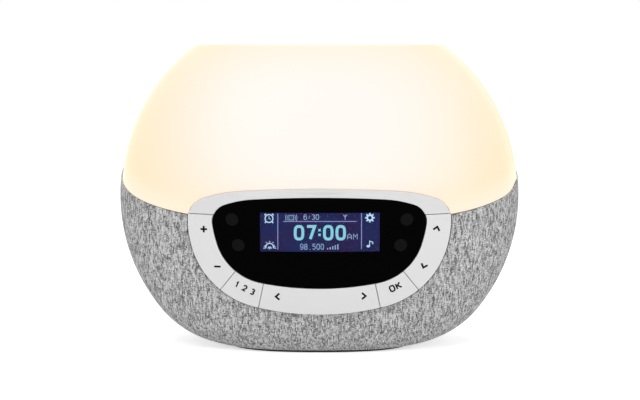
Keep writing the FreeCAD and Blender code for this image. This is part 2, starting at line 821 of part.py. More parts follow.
def make_keys():
    """Three rockers and two keys, cut from one ring along the gap lines."""
    blank = cap_blank()
    left = Part.makeBox(200, 200, 200, VECTOR(-200, -150, 0))
    right = Part.makeBox(200, 200, 200, VECTOR(0, -150, 0))
    for name, mirror, half in (("left_rocker", -1, left), ("right_rocker", 1, right)):
        sides = [half, gap_side("hood_gap", mirror, -1), gap_side("rocker_gap", mirror, 1)]
        make_key(name, blank, sides, True)
    for name, mirror, half in (("preset", -1, left), ("select", 1, right)):
        sides = [half, gap_side("rocker_gap", mirror, -1), gap_side("preset_gap", mirror, 1)]
        make_key(name, blank, sides, False)
    low = Part.makeBox(200, 200, size("pod_side_level"), VECTOR(-100, -150, 0))
    sides = [low, gap_side("preset_gap", -1, -1), gap_side("preset_gap", 1, -1)]
    make_key("bottom_rocker", blank, sides, True)


def make_buttons():
    """Four round buttons: a head in the window's hole, a flange behind it and a stem to the switch."""
    for name in ("upper_left", "lower_left", "upper_right", "lower_right"):
        (x, z), = switch_places()[name]
        edge = size("button_flange_radius")
        lens_back = size("window_recess") + size("window_thickness")
        flange_front = face_depth(abs(x) + edge, z - edge, lens_back) + 0.3
        head = rod(x, POD_FRONT, z, size("button_radius"), flange_front - POD_FRONT + 0.2)
        head = head.common(behind_face(size("button_recess")))
        flange = rod(x, flange_front, z, edge, size("button_flange_thickness"))
        stem = rod(x, flange_front, z, size("stem_radius"), -size("stem_end") - flange_front)
        moulded(name + "_button", joined([head, flange, stem]))
        make_plungers(name)


def make_switches():
    """The switches' bodies on the board: square blocks with round corners and a bore for the plunger."""
    side = size("switch_side")
    front = -size("board_front") - size("switch_height")
    group = []
    for places in switch_places().values():
        for x, z in places:
            body = block(x, front, z - side / 2, side, size("switch_height"), side)
            body = body.common(rod(x, front, z, size("switch_corner_radius"), size("switch_height")))
            group.append(body.cut(rod(x, front, z, size("switch_bore"), size("switch_bore_depth"))))
    moulded("switch_bodies", Part.makeCompound(group))


def make_back_cover():
    """The pod's back cover: a tray that closes the pod against the dome's light."""
    inset = size("frame_inset")
    split = -size("pod_split")
    rear = -size("pod_rear")
    wall = size("frame_wall")
    tray = prism(pod_outline, inset, split, rear)
    rear_edges = [edge for edge in tray.Edges
                  if min(v.Point.y for v in edge.Vertexes) > rear - 0.01]
    tray = tray.makeFillet(2.5, rear_edges)
    tray = tray.cut(prism(pod_outline, inset + wall, split, rear - wall))
    board_back = -size("board_front") + size("board_thickness")
    bosses = []
    holes = []
    for x, z in pod_boss_places():
        bosses.append(rod(x, board_back + 0.05, z, size("pod_boss_radius"), rear - wall / 2 - board_back))
        holes.append(rod(x, board_back - 5, z, size("screw_hole_radius") + 0.2, 30))
    moulded("pod_back_cover", drilled(joined([tray] + bosses), holes))
    places = [(x, rear, z) for x, z in pod_boss_places()]
    screws("pod_screws", places, (0, -1, 0), size("pod_screw_length"))


def make_board():
    """The control board, the parts soldered to its back, and the display in its holder in front."""
    front = -size("board_front")
    thickness = size("board_thickness")
    board = prism(pod_outline, size("board_inset"), front, front + thickness)
    holes = [rod(x, front - 1, z, 1.7, 6) for x, z in pod_boss_places()]
    moulded("control_board", drilled(board, holes))
    back = front + thickness
    chips = [block(-14, back, 58, 12, 1.6, 12), block(10, back, 60, 7, 1.4, 5),
             block(30, back, 66, 8, 1.4, 6), block(0, back, 44, 22, 4.2, 5),
             rod(-30, back, 66, 3.2, 5.0), rod(24, back, 50, 2.2, 3.4)]
    moulded("control_chips", Part.makeCompound(chips))

    level = size("display_z")
    glass_front = -size("glass_front")
    width, height = size("glass_width"), size("glass_height")
    glass = block(0, glass_front, level - height / 2, width, size("glass_thickness"), height)
    moulded("lcd_glass", glass)
    light_front = glass_front + size("glass_thickness") + 0.1
    light = block(0, light_front, level - height / 2 + 0.5, width - 1, size("backlight_thickness"), height - 1)
    moulded("lcd_backlight", light)
    out_width, out_height = size("holder_width"), size("holder_height")
    depth = size("holder_depth")
    tray = block(0, glass_front - 0.2, level - out_height / 2, out_width, depth, out_height)
    pocket = block(0, glass_front - 1, level - height / 2 - 0.2, width + 0.4,
                   1 + size("glass_thickness") + size("backlight_thickness") + 0.3, height + 0.4)
    tray = tray.cut(pocket).common(behind_face(size("window_recess") + size("window_thickness") + 0.2))
    legs = []
    tray_back = glass_front - 0.2 + depth
    for x in (-out_width / 2 + 3, out_width / 2 - 3):
        for z in (level - out_height / 2 + 3, level + out_height / 2 - 3):
            legs.append(rod(x, tray_back - 0.5, z, size("holder_leg_radius"), front - tray_back + 0.5))
    moulded("lcd_holder", joined([tray] + legs))


# The light engine, built level and then tilted with the rim.


def deck_place(lift):
    """The place of what is built on the level origin plane and stands on the deck, raised by lift."""
    y = size("led_y")
    tilted = FreeCAD.Rotation(VECTOR(1, 0, 0), size("rim_tilt"))
    return FreeCAD.Placement(VECTOR(0, y, rim_height(y, -size("deck_top"))) + rim_normal() * lift, tilted)


def make_light_engine():
    """The reflector deck across the bowl, the light board on it and the heat sink under it."""
    thickness = size("deck_thickness")
    outline = superellipse(size("deck_half_width"), size("deck_half_length"), size("body_squareness"), 0)
    outline.translate(VECTOR(0, size("deck_middle"), 0))
    deck = Part.Face(outline).extrude(VECTOR(0, 0, thickness))
    deck.Placement = deck_place(-thickness)
    room = prism(pod_outline, -0.8, POD_FRONT, -30.6)
    holes = [room] + deck_screw_holes(1.6)
    places = [(x, y, rim_height(y, -size("deck_top"))) for x, y in deck_column_places()]
    for x in (-size("led_screw_x"), size("led_screw_x")):
        hole = rod(x, 0, -6, 1.6, 12, UP)
        hole.Placement = deck_place(0.0)
        holes.append(hole)
    moulded("reflector_deck", drilled(deck, holes))
    screws("deck_screws", places, rim_normal() * -1, size("screw_length"))

    thickness = size("led_board_thickness")
    board = rod(0, 0, 0, size("led_board_radius"), thickness, UP)
    board_holes = [rod(x, 0, -1, 1.6, 5, UP) for x in (-size("led_screw_x"), size("led_screw_x"))]
    place = deck_place(0.02)
    moulded("led_board", board.cut(Part.makeCompound(board_holes)), place)
    side = size("led_side")
    lamps = []
    for count, circle, start in ((12, size("led_outer_ring"), 15.0), (6, size("led_inner_ring"), 0.0)):
        for number in range(count):
            lamp = Part.makeBox(side, side, size("led_height"), VECTOR(circle - side / 2, -side / 2, thickness))
            lamp.rotate(ORIGIN, UP, start + 360.0 * number / count)
            lamps.append(lamp)
    moulded("leds", Part.makeCompound(lamps), place)
    group = []
    for x in (-size("led_screw_x"), size("led_screw_x")):
        one = screw(size("screw_head_radius"), 5.5)
        one.translate(VECTOR(x, 0, thickness))
        group.append(one)
    moulded("led_screws", Part.makeCompound(group), place)


def origin_plane(body, role):
    """One of a body's own origin planes."""
    return next(item for item in body.Origin.OriginFeatures if item.Role == role)


def new_body(label):
    """A sub-part made of sketches and features."""
    body = document.addObject("PartDesign::Body", label)
    body.Label = label
    sub_parts.append(body)
    return body


def new_sketch(body, role, name):
    """A sketch on one of the body's origin planes."""
    sketch = body.newObject("Sketcher::SketchObject", name)
    sketch.AttachmentSupport = (origin_plane(body, role), [""])
    sketch.MapMode = "FlatFace"
    return sketch


def rule(sketch, constraint, expression):
    """Adds a dimension to a sketch and binds it to the sheet."""
    index = sketch.addConstraint(constraint)
    sketch.setExpression("Constraints[%d]" % index, expression)


def add_circle(sketch, radius):
    """A circle about the sketch's origin, whose radius follows an expression."""
    index = sketch.addGeometry(Part.Circle(ORIGIN, UP, 10.0))
    sketch.addConstraint(Sketcher.Constraint("Coincident", index, 3, -1, 1))
    rule(sketch, Sketcher.Constraint("Radius", index, 10.0), radius)


def add_rectangle(sketch, left, right, low, high):
    """A rectangle whose four sides' distances from the sketch's origin follow expressions."""
    corners = [VECTOR(-10, -10, 0), VECTOR(10, -10, 0), VECTOR(10, 10, 0), VECTOR(-10, 10, 0)]
    lines = [sketch.addGeometry(Part.LineSegment(corners[n], corners[(n + 1) % 4])) for n in range(4)]
    for number, line in enumerate(lines):
        sketch.addConstraint(Sketcher.Constraint("Coincident", line, 2, lines[(number + 1) % 4], 1))
        sketch.addConstraint(Sketcher.Constraint("Vertical" if number % 2 else "Horizontal", line))
    rule(sketch, Sketcher.Constraint("DistanceX", lines[0], 1, -1, 1, 10.0), left)
    rule(sketch, Sketcher.Constraint("DistanceX", -1, 1, lines[0], 2, 10.0), right)
    rule(sketch, Sketcher.Constraint("DistanceY", lines[0], 1, -1, 1, 10.0), low)
    rule(sketch, Sketcher.Constraint("DistanceY", -1, 1, lines[2], 1, 10.0), high)


def add_pad(body, sketch, length, name):
    """A pad of the sketch, of a length that follows an expression."""
    pad = body.newObject("PartDesign::Pad", name)
    pad.Profile = sketch
    pad.setExpression("Length", length)
    sketch.Visibility = False
    return pad


def add_holes(body, places, name):
    """Screw holes through a body along its upright axis. Each place is two expressions, across and
    along, and an empty one keeps the hole on the axis across."""
    sketch = new_sketch(body, "XY_Plane", name + "_sketch")
    for across, along in places:
        start = VECTOR(-10 if across.startswith("-") else 10, -10 if along.startswith("-") else 10, 0)
        index = sketch.addGeometry(Part.Circle(start, UP, 1.5))
        rule(sketch, Sketcher.Constraint("Radius", index, 1.5), "Sizes.screw_hole_radius")
        rule(sketch, Sketcher.Constraint("DistanceX", -1, 1, index, 3, start.x), across)
        if along:
            rule(sketch, Sketcher.Constraint("DistanceY", -1, 1, index, 3, start.y), along)
        else:
            sketch.addConstraint(Sketcher.Constraint("PointOnObject", index, 3, -1))
    document.recompute()
    before = body.Shape.Volume
    pocket = body.newObject("PartDesign::Pocket", name)
    pocket.Profile = sketch
    pocket.Type = "ThroughAll"
    pocket.Midplane = True
    sketch.Visibility = False
    body.Tip = pocket
    document.recompute()
    if not body.Shape.Volume < before:
        raise RuntimeError("the holes %s cut nothing" % name)


def make_heat_sink():
    """The heat sink under the deck: a plate with a row of fins, hung on the light board's screws."""
    body = new_body("heat_sink")
    plate_sketch = new_sketch(body, "XY_Plane", "sink_plate_sketch")
    add_rectangle(plate_sketch, "Sizes.sink_width / 2", "Sizes.sink_width / 2",
                  "Sizes.sink_length / 2", "Sizes.sink_length / 2")
    plate = add_pad(body, plate_sketch, "Sizes.sink_plate", "sink_plate_pad")
    plate.Reversed = True
    document.recompute()
    fin_sketch = new_sketch(body, "XY_Plane", "sink_fin_sketch")
    add_rectangle(fin_sketch, "Sizes.sink_width / 2 - 1", "-Sizes.sink_width / 2 + 1 + Sizes.sink_fin",
                  "Sizes.sink_length / 2", "Sizes.sink_length / 2")
    fin = add_pad(body, fin_sketch, "Sizes.sink_plate + Sizes.sink_fin_height", "sink_fin_pad")
    fin.Reversed = True
    document.recompute()
    row = body.newObject("PartDesign::LinearPattern", "sink_fin_row")
    row.Originals = [fin]
    row.Direction = (origin_plane(body, "X_Axis"), [""])
    row.Occurrences = 9
    row.setExpression("Length", "Sizes.sink_width - 2 - Sizes.sink_fin")
    body.Tip = row
    document.recompute()
    add_holes(body, [("-Sizes.led_screw_x", ""), ("Sizes.led_screw_x", "")], "sink_holes")
    centred(body, deck_place(-size("deck_thickness") - 0.05))


# The back.


def make_rear_panel():
    """The rear panel: a lip that covers the fabric's edge, a plug with the grille, and posts for the speaker."""
    lip = size("rear_lip")
    width = size("rear_lip_width")
    behind = Part.makeBox(300, 60, 300, VECTOR(-150, 30, 0))
    outer = body_form(-lip).common(behind)
    ring = outer.cut(body_form(-0.05)).common(rear_bar(0.0))
    plug = outer.cut(body_form(size("rear_plug"))).common(rear_bar(width))
    posts = []
    holes = []
    circle = size("speaker_post_circle")
    front = size("speaker_front")
    for number in range(4):
        turn = math.radians(45 + 90 * number)
        x = circle * math.cos(turn)
        z = size("speaker_z") + circle * math.sin(turn)
        posts.append(rod(x, front + 0.05, z, size("speaker_post_radius"), 12).common(body_form(0.5)))
        holes.append(rod(x, front - 3, z, size("screw_hole_radius"), 7.5))
    radius = size("grille_radius")
    slot = size("grille_slot")
    count = int(radius // size("grille_pitch"))
    for number in range(-count, count + 1):
        x = number * size("grille_pitch")
        half = math.sqrt(radius**2 - x**2) - slot / 2
        middle = size("speaker_z")
        bar = block(x, 45, middle - half, slot, 30, 2 * half)
        ends = [rod(x, 45, middle + side * half, slot / 2, 30) for side in (-1, 1)]
        holes.append(joined([bar] + ends))
    holes.append(rod(size("socket_x"), 40, size("socket_z"), size("socket_barrel_radius") + 0.15, 40))
    seat, outwards = bush_seat()
    holes.append(Part.makeCylinder(size("bush_radius") + 0.05, 20, seat - outwards * 10, outwards))
    for x, z in supply_post_places():
        posts.append(rod(x, size("power_board_front") + 0.05, z, size("supply_post_radius"), 30)
                     .common(body_form(0.5)))
        start = size("power_board_front") - size("supply_pin_length")
        posts.append(rod(x, start, z, size("supply_pin_radius"), size("supply_pin_length") + 2))
    places = []
    for x, z in rear_screw_places():
        surface = outside_depth(x, z, 0.0)
        holes.append(rod(x, 40, z, 1.6, 40))
        holes.append(rod(x, surface - 0.6, z, size("screw_head_radius") + 0.3, 20))
        places.append((x, surface - 0.6, z))
    solid = joined([ring, plug] + posts)
    moulded("rear_panel", drilled(solid, holes))
    screws("rear_screws", places, (0, -1, 0), 5.5)


def outside_depth(x, level, inset):
    """The y of the body's back at a point, moved in by inset."""
    half_x = body_half_width(level, inset)
    half_y = body_half_depth(level, inset)
    power = size("body_squareness")
    return half_y * (1 - abs(x / half_x) ** power) ** (1 / power)


def bush_seat():
    """Where the aerial bush's collar meets the rear panel, and the outward direction there."""
    x, z = -size("socket_x"), size("socket_z")
    inset = -size("rear_lip")
    step = 0.01
    slope_x = (outside_depth(x + step, z, inset) - outside_depth(x - step, z, inset)) / (2 * step)
    slope_z = (outside_depth(x, z + step, inset) - outside_depth(x, z - step, inset)) / (2 * step)
    outwards = VECTOR(-slope_x, 1, -slope_z).normalize()
    return VECTOR(x, outside_depth(x, z, inset), z) + outwards * 0.03, outwards


def supply_post_places():
    """The two posts with pins that carry the supply board, as (x, z)."""
    x, z = size("socket_x"), size("socket_z")
    return [(x + 9, z + 13), (x - 7, z - 8)]


def revolved(label, points, place):
    """A round sub-part: a closed sketch turned about its own upright axis, then laid along the depth."""
    body = new_body(label)
    sketch = new_sketch(body, "XZ_Plane", label + "_sketch")
    corners = [VECTOR(px, pz, 0) for px, pz in points]
    count = len(corners)
    lines = [sketch.addGeometry(Part.LineSegment(corners[n], corners[(n + 1) % count])) for n in range(count)]
    for number in range(count):
        sketch.addConstraint(Sketcher.Constraint("Coincident", lines[number], 2, lines[(number + 1) % count], 1))
    turn = body.newObject("PartDesign::Revolution", label + "_turn")
    turn.Profile = sketch
    turn.ReferenceAxis = (origin_plane(body, "Z_Axis"), [""])
    turn.Angle = 360
    body.Tip = turn
    document.recompute()
    centred(body, FreeCAD.Placement(VECTOR(*place), FreeCAD.Rotation(VECTOR(1, 0, 0), -90)))
    return body


def make_speaker():
    """The loudspeaker: a pressed basket, a paper cone with its cap, a ring magnet, and four screws."""
    radius = size("speaker_radius")
    front = size("speaker_front")
    flange = size("speaker_flange")
    depth = size("speaker_depth")
    cone = size("cone_radius")
    magnet = size("magnet_radius")
    level = size("speaker_z")
    wall = 1.0
    basket = [(cone + 0.6, 0), (radius, 0), (radius, -flange), (cone + 0.8, -flange), (cone, -flange - 1.4),
              (magnet, -depth), (5.0, -depth), (5.0, -depth + wall), (magnet - 1, -depth + wall),
              (cone - 1.5, -1.05), (cone + 0.6, -1.05)]
    frame = revolved("speaker_frame", basket, (0, front, level))
    across = "Sizes.speaker_post_circle * cos(45 deg)"
    add_holes(frame, [(x + across, z + across) for x in ("", "-") for z in ("", "-")], "basket_holes")
    paper = [(0, -3.4), (5.2, -3.9), (cone - 2.5, -0.6), (cone, -0.2), (cone + 0.4, -0.6),
             (cone + 0.4, -1.0), (cone - 1.9, -1.0), (5.6, -5.6), (0, -4.4)]
    revolved("speaker_cone", paper, (0, front, level))
    height = size("magnet_height")
    ring = [(0, -depth - height), (magnet, -depth - height), (magnet, -depth - 0.05), (4.6, -depth - 0.05),
            (4.6, -depth + 2.4), (0, -depth + 2.4)]
    revolved("speaker_magnet", ring, (0, front, level))
    places = []
    for number in range(4):
        turn = math.radians(45 + 90 * number)
        circle = size("speaker_post_circle")
        places.append((circle * math.cos(turn), front - flange, level + circle * math.sin(turn)))
    screws("speaker_screws", places, (0, 1, 0), 5.0)


def make_supply():
    """The supply board with its socket and parts, and the bush where the aerial wire would leave."""
    front = size("power_board_front")
    thickness = size("board_thickness")
    x, z = size("socket_x"), size("socket_z")
    width, height = size("power_board_width"), size("power_board_height")
    board = block(x + 1, front - thickness, z - 11, width, thickness, height)
    pin_holes = [rod(px, front - 5, pz, size("supply_pin_radius") + 0.15, 10) for px, pz in supply_post_places()]
    moulded("power_board", drilled(board, pin_holes))
    mouth = outside_depth(x, z, 0.0) - 0.8
    shell = block(x, front, z - size("socket_height") / 2, size("socket_width"), 6.0, size("socket_height"))
    barrel = rod(x, front, z, size("socket_barrel_radius"), mouth - front)
    bore = rod(x, mouth - size("socket_bore_depth"), z, size("socket_bore_radius"), 20)
    moulded("dc_socket", shell.fuse(barrel).cut(bore))
    pin_start = mouth - size("socket_bore_depth")
    pin = rod(x, pin_start, z, size("socket_pin_radius"), size("socket_bore_depth") - 1.0)
    moulded("dc_pin", pin)
    parts = [rod(x - 6, front - thickness - 9, z + 9, 4.0, 9), rod(x + 5, front - thickness - 9, z + 9, 4.0, 9),
             block(x + 1, front - thickness - 5, z - 8, 9, 5, 9)]
    moulded("power_parts", Part.makeCompound(parts))
    seat, outwards = bush_seat()
    start = seat - outwards * size("bush_neck")
    reach = size("bush_neck") + size("bush_collar")
    collar = Part.makeCylinder(size("bush_radius") + 1.0, size("bush_collar"), seat, outwards)
    neck = Part.makeCylinder(size("bush_radius"), reach, start, outwards)
    hole = Part.makeCylinder(size("bush_bore_radius"), reach + 2, start - outwards, outwards)
    moulded("aerial_bush", collar.fuse(neck).cut(hole))


def write_out():
    """Checks every object, then writes each sub-part under its label."""
    document.recompute()
    for item in document.Objects:
        if "Invalid" in item.State or "Error" in item.State:
            raise RuntimeError("%s is %s" % (item.Label, item.State))
    os.makedirs("parts", exist_ok=True)
    for part in sub_parts:
        shape = part.Shape
        if shape.isNull() or not shape.isValid():
            raise RuntimeError("%s has no valid shape" % part.Label)
    for part in sub_parts:
        part.Shape.exportStep("parts/%s.step" % part.Label)


make_dome()
make_base_shell()
make_fabric()
make_base()
make_frame()
make_window()
make_keys()
make_buttons()
make_switches()
make_back_cover()
make_board()
make_light_engine()
make_heat_sink()
make_rear_panel()
make_speaker()
make_supply()
write_out()

box = Part.makeCompound([part.Shape for part in sub_parts]).BoundBox
print("%d sub-parts, box x %.2f to %.2f, y %.2f to %.2f, z %.2f to %.2f" % (
    len(sub_parts), box.XMin, box.XMax, box.YMin, box.YMax, box.ZMin, box.ZMax))
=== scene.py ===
"""Looks of the sunrise alarm clock: woven cover, lit dome, gloss window, display drawing and legends.

Lengths are metres in the row frame: +Z up, the front faces -Y. The numbers that describe a form are
kept in dataclasses, and every new piece is a parametric surface worked out with numpy.
"""

import json
import logging
import math
from dataclasses import dataclass, field
from enum import Enum
from typing import Callable, Dict, List, Sequence, Tuple

import bpy
import numpy as np
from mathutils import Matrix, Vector

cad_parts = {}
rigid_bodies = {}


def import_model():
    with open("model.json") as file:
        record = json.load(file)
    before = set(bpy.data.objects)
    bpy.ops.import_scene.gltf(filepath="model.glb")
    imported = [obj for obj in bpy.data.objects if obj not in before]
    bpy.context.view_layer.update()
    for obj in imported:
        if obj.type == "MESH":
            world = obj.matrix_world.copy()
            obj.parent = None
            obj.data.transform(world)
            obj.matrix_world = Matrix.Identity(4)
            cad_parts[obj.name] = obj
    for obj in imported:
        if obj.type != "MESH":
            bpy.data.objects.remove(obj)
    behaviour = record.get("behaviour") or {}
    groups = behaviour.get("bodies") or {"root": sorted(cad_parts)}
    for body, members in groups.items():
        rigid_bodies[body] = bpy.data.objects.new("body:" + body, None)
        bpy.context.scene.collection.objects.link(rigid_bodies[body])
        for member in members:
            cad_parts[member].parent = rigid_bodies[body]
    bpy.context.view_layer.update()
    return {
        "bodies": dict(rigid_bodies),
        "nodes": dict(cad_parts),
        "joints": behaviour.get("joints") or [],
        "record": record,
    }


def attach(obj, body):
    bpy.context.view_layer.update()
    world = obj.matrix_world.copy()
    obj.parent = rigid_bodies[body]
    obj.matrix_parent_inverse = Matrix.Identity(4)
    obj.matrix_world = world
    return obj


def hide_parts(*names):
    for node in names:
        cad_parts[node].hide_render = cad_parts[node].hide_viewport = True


LOG = logging.getLogger("clock")
MM = 0.001
Colour = Tuple[float, float, float]
Path = np.ndarray
Piece = bpy.types.Object
Material = bpy.types.Material
Node = bpy.types.Node
Socket = bpy.types.NodeSocket


# Forms of the real object


@dataclass(frozen=True)
class BodyForm:
    """The body's outer form: level superellipses that follow arcs up the front and the side.

    Attributes are in metres. Half width and half depth are largest at the widest level.
    """

    half_width: float = 0.1066
    half_depth: float = 0.0615
    squareness: float = 2.4
    widest: float = 0.0798
    top: float = 0.1604
    upper_arcs: Tuple[float, float, float] = (0.1032, 0.0950, 0.0537)
    lower_arcs: Tuple[float, float, float] = (0.0961, 0.0500, 0.0600)
    depth_arc: float = 0.152
    shift: float = 0.0021
    rim_level: float = 0.0931
    rim_slope: float = math.tan(math.radians(20.9))

    def half_width_at(self, level: np.ndarray, inset: float = 0.0) -> np.ndarray:
        """Half width at a level, with the form moved in along its normal by inset.

        Two tangent arcs run up from the widest level and two run down.
        """
        level = np.asarray(level, float)
        result = np.zeros_like(level)
        for above, (first, second, span) in ((True, self.upper_arcs), (False, self.lower_arcs)):
            reach = np.abs(level - self.widest)
            turn = math.asin(span / first)
            near_end = (first - inset) * math.sin(turn)
            near = first - inset
            near_x = self.half_width - inset - near + np.sqrt(near**2 - np.minimum(reach, near_end) ** 2)
            centre_x = self.half_width - first + (first - second) * math.cos(turn)
            centre_reach = (first - second) * math.sin(turn)
            far = second - inset
            far_x = centre_x + np.sqrt(np.maximum(far**2 - (reach - centre_reach) ** 2, 0.0))
            here = (level >= self.widest) == above
            result = np.where(here, np.where(reach <= near_end, near_x, far_x), result)
        return result

    def half_depth_at(self, level: np.ndarray, inset: float = 0.0) -> np.ndarray:
        """Half depth at a level, on one arc up the front and the back."""
        arc = self.depth_arc - inset
        reach = np.asarray(level, float) - self.widest
        return self.half_depth - inset - arc + np.sqrt(arc**2 - reach**2)

    def points(self, turn: np.ndarray, level: np.ndarray, inset: float = 0.0) -> np.ndarray:
        """Points of the form: x = a sin(turn)^(2/n) and y = -b cos(turn)^(2/n), signs kept.

        A turn is an angle about the upright axis, zero at the middle of the front.
        """
        power = 2.0 / self.squareness
        sine, cosine = np.sin(turn), np.cos(turn)
        x = self.half_width_at(level, inset) * np.sign(sine) * np.abs(sine) ** power
        y = -self.half_depth_at(level, inset) * np.sign(cosine) * np.abs(cosine) ** power
        return np.stack([x, y + self.shift, level], axis=-1)

    def rim_at(self, turn: np.ndarray, lift: float) -> np.ndarray:
        """The level at which the tilted rim plane, raised by lift, meets the form."""
        level = np.full_like(turn, self.rim_level)
        for _ in range(30):
            depth = self.points(turn, level)[..., 1] - self.shift
            level = self.rim_level + lift + self.rim_slope * depth
        return level


@dataclass(frozen=True)
class FaceForm:
    """The pod's crowned face, an upright arc turned about an upright axis."""

    front: float = 0.0665
    level: float = 0.0840
    upright_arc: float = 0.150
    level_arc: float = 0.190
    shift: float = 0.0021

    def depth(self, x: np.ndarray, z: np.ndarray, inset: float = 0.0) -> np.ndarray:
        """The y of the face, moved in by inset, at x and z."""
        axis = self.level_arc - self.front
        upright = self.upright_arc - inset
        profile = self.upright_arc - self.front - np.sqrt(upright**2 - (z - self.level) ** 2)
        return axis - np.sqrt((axis - profile) ** 2 - x**2) + self.shift


@dataclass(frozen=True)
class PodOutline:
    """The pod's D-shaped outline: tangent arcs (radius, turn in degrees) from the top middle down."""

    top: float = 0.0872
    crown: Tuple[float, float] = (0.620, 3.75)
    brow: Tuple[float, float] = (0.0725, 15.37)
    shoulder: Tuple[float, float] = (0.01151, 70.88)
    side: Tuple[float, float] = (0.0539, 6.9)
    flank: Tuple[float, float] = (0.0513, 10.6)
    corner: Tuple[float, float] = (0.0437, 59.2)
    half_width: float = 0.0673

    def half(self, inset: float, steps: int = 24) -> np.ndarray:
        """Points (x, z) of the right half, moved in by inset, with so many steps on each arc."""
        chain_arcs = (self.crown, self.brow, self.shoulder, self.side, self.flank, self.corner)
        arcs = [(radius, math.radians(turn)) for radius, turn in chain_arcs]
        x, z, turned = 0.0, self.top - inset, 0.0
        chain = [np.array([[x, z]])]
        for radius, turn in arcs + [(None, None)]:
            end = math.pi if radius is None else turned + turn
            size = x / math.sin(turned) if radius is None else radius - inset
            angle = np.linspace(turned, end, steps)[1:]
            part = np.stack([x + size * (np.sin(angle) - math.sin(turned)),
                             z + size * (np.cos(angle) - math.cos(turned))], axis=-1)
            chain.append(part)
            (x, z), turned = part[-1], end
        return np.concatenate(chain)

    def closed(self, inset: float) -> np.ndarray:
        """The whole outline, once round."""
        right = self.half(inset)
        left = right[::-1][1:-1] * np.array([-1.0, 1.0])
        return np.concatenate([right, left])


BODY = BodyForm()
FACE = FaceForm()
POD = PodOutline()


# Meshes


def grid_faces(rows: int, columns: int) -> np.ndarray:
    """Quads of a grid of points whose rows close on themselves, wound to face outwards."""
    row, column = np.meshgrid(np.arange(rows - 1), np.arange(columns), indexing="ij")
    here = row * columns + column
    across = row * columns + (column + 1) % columns
    return np.stack([here, across, across + columns, here + columns], axis=-1).reshape(-1, 4)


def mesh_object(name: str, points: np.ndarray, faces: np.ndarray,
                smooth: bool = True) -> Piece:
    """Makes a mesh object from vertices in the row frame and quads of four vertex numbers."""
    mesh = bpy.data.meshes.new(name)
    count = len(faces)
    mesh.vertices.add(len(points))
    mesh.vertices.foreach_set("co", np.ascontiguousarray(points, np.float32).ravel())
    mesh.loops.add(count * 4)
    mesh.loops.foreach_set("vertex_index", faces.astype(np.int32).ravel())
    mesh.polygons.add(count)
    mesh.polygons.foreach_set("loop_start", np.arange(0, count * 4, 4, dtype=np.int32))
    mesh.polygons.foreach_set("loop_total", np.full(count, 4, np.int32))
    mesh.polygons.foreach_set("use_smooth", np.full(count, smooth))
    mesh.update(calc_edges=True)
    mesh.validate()
    made = bpy.data.objects.new(name, mesh)
    bpy.context.scene.collection.objects.link(made)
    return made


def running_length(points: np.ndarray) -> np.ndarray:
    """The length from the first point to each, along the last axis but one."""
    steps = np.linalg.norm(np.diff(points, axis=-2), axis=-1)
    return np.pad(np.cumsum(steps, axis=-1), [(0, 0)] * (steps.ndim - 1) + [(1, 0)])


def set_plane_coordinates(piece: Piece, flat: np.ndarray) -> None:
    """Stores each vertex's place on the flat cloth, in metres, as the mesh's UV map."""
    mesh = piece.data
    layer = mesh.uv_layers.new(name="cloth")
    corner = np.zeros(len(mesh.loops), np.int32)
    mesh.loops.foreach_get("vertex_index", corner)
    layer.data.foreach_set("uv", flat[corner].astype(np.float32).ravel())


# Materials


class Nodes:
    """A node tree, built socket by socket."""

    def __init__(self, tree: bpy.types.NodeTree) -> None:
        self.tree = tree
        tree.nodes.clear()

    def node(self, kind: str, **inputs) -> Node:
        """Adds a node. Names are sockets with underscores for spaces; a socket value is linked."""
        made = self.tree.nodes.new(kind)
        for name, value in inputs.items():
            self.feed(made.inputs[name.replace("_", " ")], value)
        return made

    def feed(self, socket: Socket, value) -> None:
        """Links a socket to another, or sets its value."""
        if isinstance(value, Socket):
            self.tree.links.new(value, socket)
        elif isinstance(value, tuple) and len(value) == 3 and socket.type == "RGBA":
            socket.default_value = (*value, 1.0)
        else:
            socket.default_value = value

    def join(self, kind: str, *values) -> Node:
        """Adds a node whose first inputs are given in their order."""
        made = self.tree.nodes.new(kind)
        for number, value in enumerate(values):
            self.feed(made.inputs[number], value)
        return made

    def maths(self, operation: str, first, second=0.0, clamp: bool = False) -> Socket:
        """A step on one or two numbers, named as Blender names it."""
        made = self.join("ShaderNodeMath", first, second)
        made.operation = operation
        made.use_clamp = clamp
        return made.outputs[0]

    def add(self, first, second) -> Socket:
        """A sum."""
        return self.maths("ADD", first, second)

    def less(self, first, second) -> Socket:
        """The first less the second."""
        return self.maths("SUBTRACT", first, second)

    def times(self, first, second, clamp: bool = False) -> Socket:
        """A product."""
        return self.maths("MULTIPLY", first, second, clamp)

    def smooth_step(self, value, low: float, high: float, least: float = 0.0) -> Socket:
        """The least value below low, one above high, and smooth between."""
        made = self.node("ShaderNodeMapRange", Value=value, From_Min=low, From_Max=high, To_Min=least)
        made.interpolation_type = "SMOOTHSTEP"
        return made.outputs["Result"]

    def blend(self, share, first: Node, second: Node) -> Node:
        """A mixture of two surfaces or backgrounds."""
        return self.join("ShaderNodeMixShader", share, first.outputs[0], second.outputs[0])


